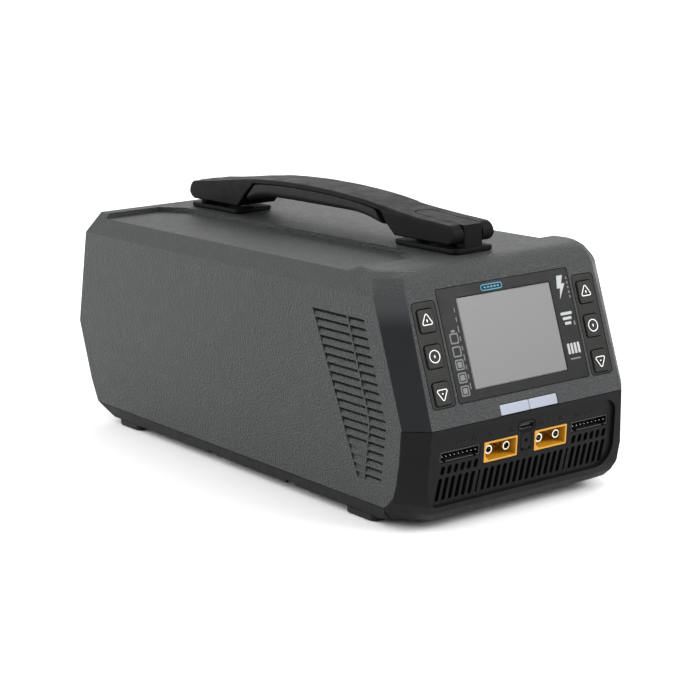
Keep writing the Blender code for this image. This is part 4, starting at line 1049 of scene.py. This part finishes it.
def makeInlet():
    x, z = rear["inletX"], rear["rowZ"]
    front = rear["face"] + case["gap"]
    body = block(roundRect(x, z, 27.0, 19.4, 0.4, 2), front + 2 - 24, front + 2)
    flange = block(roundRect(x, z, 33.0, 24.0, 2.4), front, front + 2)
    carve(body, flange, operation="UNION")
    mouth = block(cutCorners(x, z, 24.2, 16.4, (0.6, 0.6, 4.6, 4.6)), front - 17, front + 6)
    carve(body, mouth)
    soften(body, 0.35, 2, 40)
    def blades(work):
        for dx, dz in ((-7, -2), (0, 2), (7, -2)):
            prism(work, roundRect(x + dx, z + dz, 2, 4, 0.5, 2), front - 17.5, rear["panelY"] - 0.2)
    show("acInlet", [(body, blackPlastic), (solid("blades", blades), pinMetal)], ["ac_inlet"])


def makeRocker():
    wide, tall = rear["rocker"]
    x, z = rear["rockerX"], rear["rowZ"]
    front = rear["face"] + case["gap"]
    body = block(roundRect(x, z, wide, tall, 0.4, 2), front + 1.2 - 14, front + 1.2)
    carve(body, block(roundRect(x, z, wide + 3, tall + 3, 1.4), front, front + 1.2), operation="UNION")
    carve(body, block(roundRect(x, z, wide - 2.4, tall - 2.4, 0.6, 2), rear["face"] - 6, front + 6))
    soften(body, 0.25, 2, 40)
    show("rockerFrame", [(body, blackPlastic)], ["rocker_frame"])
    place = (Matrix.Translation((x * mm, cadLow.y + (rear["face"] + 0.2) * mm, z * mm))
             @ Matrix.Rotation(math.radians(rear["swing"]), 4, "X") @ unit)
    reach, wing = tall / 2 - 1.8, 3.16
    curve = [(1.32 + (wing - 1.32) * (i / 6) ** 2, reach * i / 6) for i in range(-6, 7)]
    outline = [(-1.6, -reach)] + curve + [(-1.6, reach), (-2.6, 0)]
    paddle = soften(block(outline, -(wide / 2 - 1.6), wide / 2 - 1.6, place, axis="x"), 0.35, 2, 40)
    def signs(work):
        out = reach * 0.66
        prism(work, roundRect(0, -out, 0.6, 2.8, 0.1, 1), 1.9, 2.27)
        ringPrism(work, circle(0, out, 1.5, 20), circle(0, out, 1.05, 20), 1.9, 2.27)
    show("powerRocker", [(paddle, rockerPlastic), (solid("signs", signs, place), whitePrint)], ["power_rocker"],
         body="power_rocker")


makeRearPanel()
makeInlet()
makeRocker()
makePowerSocket("dc_input", rearFrame @ Matrix.Translation((-rear["dcX"], 0, rear["rowZ"])))
print("rear made")


# fans

fan = {"size": 50.0, "depth": 15.0, "hub": 10.0, "blades": 7, "pitch": 34.0, "chord": 0.62, "skew": 0.35,
       "bladeThick": 1.0}


def fanBlade(work, turn):
    rows, columns, root = 5, 5, fan["hub"] - 0.6
    layers = []
    for shift in (-0.5, 0.5):
        grid = []
        for i in range(rows + 1):
            radius = root + (rear["rotor"] - fan["hub"]) * i / rows
            line = []
            for j in range(columns + 1):
                along = j / columns - 0.5
                angle = turn + along * fan["chord"] + fan["skew"] * (i / rows) ** 2
                height = along * 8.0 + 1.2 * math.sin(math.pi * (along + 0.5)) + shift * fan["bladeThick"]
                line.append(work.verts.new((radius * math.cos(angle), height, radius * math.sin(angle))))
            grid.append(line)
        layers.append(grid)
    low, high = layers
    for i in range(rows):
        for j in range(columns):
            for grid in layers:
                work.faces.new((grid[i][j], grid[i][j + 1], grid[i + 1][j + 1], grid[i + 1][j]))
    edge = [(0, j) for j in range(columns)] + [(i, columns) for i in range(rows)]
    edge += [(rows, j) for j in range(columns, 0, -1)] + [(i, 0) for i in range(rows, 0, -1)]
    for (i, j), (k, l) in zip(edge, edge[1:] + edge[:1]):
        work.faces.new((low[i][j], low[k][l], high[k][l], high[i][j]))


def makeFan(hand):
    low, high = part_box(f"fan_frame_{hand}")
    middle = (low + high) / 2
    place = Matrix.Translation(middle) @ unit
    body = block(roundRect(0, 0, fan["size"], fan["size"], 3.6), -fan["depth"] / 2, fan["depth"] / 2, place)
    def bore(work):
        prism(work, circle(0, 0, rear["rotor"] + 1, 56), -4.4, 9)
    def windows(work):
        for i in range(4):
            start = math.tau * i / 4
            turns = [(22.3, 8 + 74 * k / 10) for k in range(11)] + [(10.5, 74 - 58 * k / 6) for k in range(7)]
            outline = [(radius * math.cos(start + math.radians(turn)),
                        radius * math.sin(start + math.radians(turn)))
                       for radius, turn in turns]
            prism(work, outline, -10, -2)
    def screwHoles(work):
        for dx in (-1, 1):
            for dz in (-1, 1):
                prism(work, circle(dx * rear["fanScrew"], dz * rear["fanScrew"], 1.7, 16), -9, 9)
    carve(body, solid("bore", bore, place))
    carve(body, solid("windows", windows, place), solid("screwHoles", screwHoles, place))
    soften(body, 0.3, 2, 45)
    show(f"fanFrame_{hand}", [(body, fanPlastic)], [f"fan_frame_{hand}"])
    rotorLow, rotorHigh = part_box(f"fan_rotor_{hand}")
    spin = Matrix.Translation((middle.x, (rotorLow.y + rotorHigh.y) / 2, middle.z)) @ unit
    hub = soften(block(circle(0, 0, fan["hub"], 40), -5, 5, spin), 0.9, 3)
    cap = solid("cap", lambda work: ringPrism(work, circle(0, 0, 6.4, 32), circle(0, 0, 5.8, 32), 4.9, 5.15),
                spin)
    blades = [(solid("blade", lambda work: fanBlade(work, math.tau * i / fan["blades"]), spin), fanPlastic)
              for i in range(fan["blades"])]
    show(f"fanRotor_{hand}", [(hub, fanPlastic), (cap, greyPrint)] + blades, [f"fan_rotor_{hand}"],
         body=f"fan_rotor_{hand}")


makeFan("left")
makeFan("right")
print("fans made")


# CAD pieces that keep their shape and get a finish

carried = {"display_board": circuitBoard, "key_board_left": circuitBoard, "key_board_right": circuitBoard,
           "main_board": circuitBoard, "supply_board": circuitBoard, "output_board": circuitBoard,
           "heat_sink_left": heatSinkMetal, "heat_sink_right": heatSinkMetal, "transformer": ferrite,
           "inductor": copperWinding, "capacitor_left": capacitorSleeve, "capacitor_right": capacitorSleeve}
carried.update({f"bracket_screw_{n}": platedScrew for n in range(1, 5)})
for name, finish in carried.items():
    item = cadNodes[name]
    if not item.material_slots:
        item.data.materials.append(finish)
    for held in item.material_slots:
        held.material = finish
print("inner pieces finished")


# floor, light and camera

studio = {"floor": 14.0, "rim": 1.1, "floorTone": (0.93, 0.93, 0.93), "aim": (0, 0, 0.06), "zenith": 1.65,
          "horizon": 0.12, "spread": (0.12, 0.6),
          "lights": (("leftBack", 1.8, 31.0, (-1.7, 1.6, 0.62)), ("rightFront", 1.6, 50.0, (1.2, -1.9, 1.35)),
                     ("rightBack", 1.4, 6.0, (1.6, 2.0, 1.0)))}
view = {"lens": 98.14, "azimuth": 35.25, "elevation": 12.60, "roll": -1.99, "place": (-0.5736, -0.8268, 0.2787)}


def makeFloor():  # a flat disk with a low curved rim
    def sweep(work):
        bends = [math.radians(8 * i) for i in range(11)]
        rings = [[work.verts.new((x, y, studio["rim"] * (1 - math.cos(bend)))) for x, y in
                  circle(0, 0, studio["floor"] + studio["rim"] * math.sin(bend), 96)] for bend in bends]
        work.faces.new(rings[0])
        for low, high in zip(rings, rings[1:]):
            for i in range(len(low)):
                work.faces.new((low[i - 1], low[i], high[i], high[i - 1]))
    floor = solid("floor", sweep, Matrix())
    floor.data.shade_smooth()
    floor.data.materials.append(finishOf("paleFloor", studio["floorTone"], 0.7, vary=0.004))


def makeLights():
    world = bpy.data.worlds.new("studio")
    bpy.context.scene.world = world
    world.use_nodes = True
    tree = world.node_tree
    sky = tree.nodes["Background"]
    place = addNode(tree, "TexCoord", {}).outputs["Generated"]
    parts = addNode(tree, "SeparateXYZ", {"Vector": place})
    climb = addNode(tree, "MapRange", {"From Min": studio["spread"][0], "From Max": studio["spread"][1],
                                       "To Min": studio["horizon"], "To Max": studio["zenith"],
                                       "Value": parts.outputs["Z"]}, interpolation_type="SMOOTHSTEP")
    # bright ceiling, dimmer walls
    join(tree, sky, {"Color": (1, 1, 1, 1), "Strength": climb.outputs["Result"]})
    for name, size, watts, place in studio["lights"]:
        light = bpy.data.lights.new(name, "AREA")
        light.shape = "DISK"
        light.size = size
        light.energy = watts
        lamp = bpy.data.objects.new(name, light)
        lamp.location = place
        lamp.rotation_euler = (Vector(place) - Vector(studio["aim"])).to_track_quat("Z", "Y").to_euler()
        bpy.context.scene.collection.objects.link(lamp)


def makeCamera():
    around, up, roll = (math.radians(view[k]) for k in ("azimuth", "elevation", "roll"))
    back = Vector((-math.sin(around) * math.cos(up), -math.cos(around) * math.cos(up), math.sin(up)))
    right = Vector((math.cos(around), -math.sin(around), 0))
    over = back.cross(right)
    xAxis = right * math.cos(roll) + over * math.sin(roll)
    yAxis = over * math.cos(roll) - right * math.sin(roll)
    lens = bpy.data.cameras.new("camera")
    lens.lens = view["lens"]
    lens.sensor_width = 36.0
    camera = bpy.data.objects.new("camera", lens)
    turn = Matrix((xAxis, yAxis, back)).transposed().to_4x4()
    camera.matrix_world = Matrix.Translation(view["place"]) @ turn
    bpy.context.scene.collection.objects.link(camera)
    bpy.context.scene.camera = camera


makeFloor()
makeLights()
makeCamera()
bpy.context.scene.view_settings.view_transform = "Standard"
print("studio made")
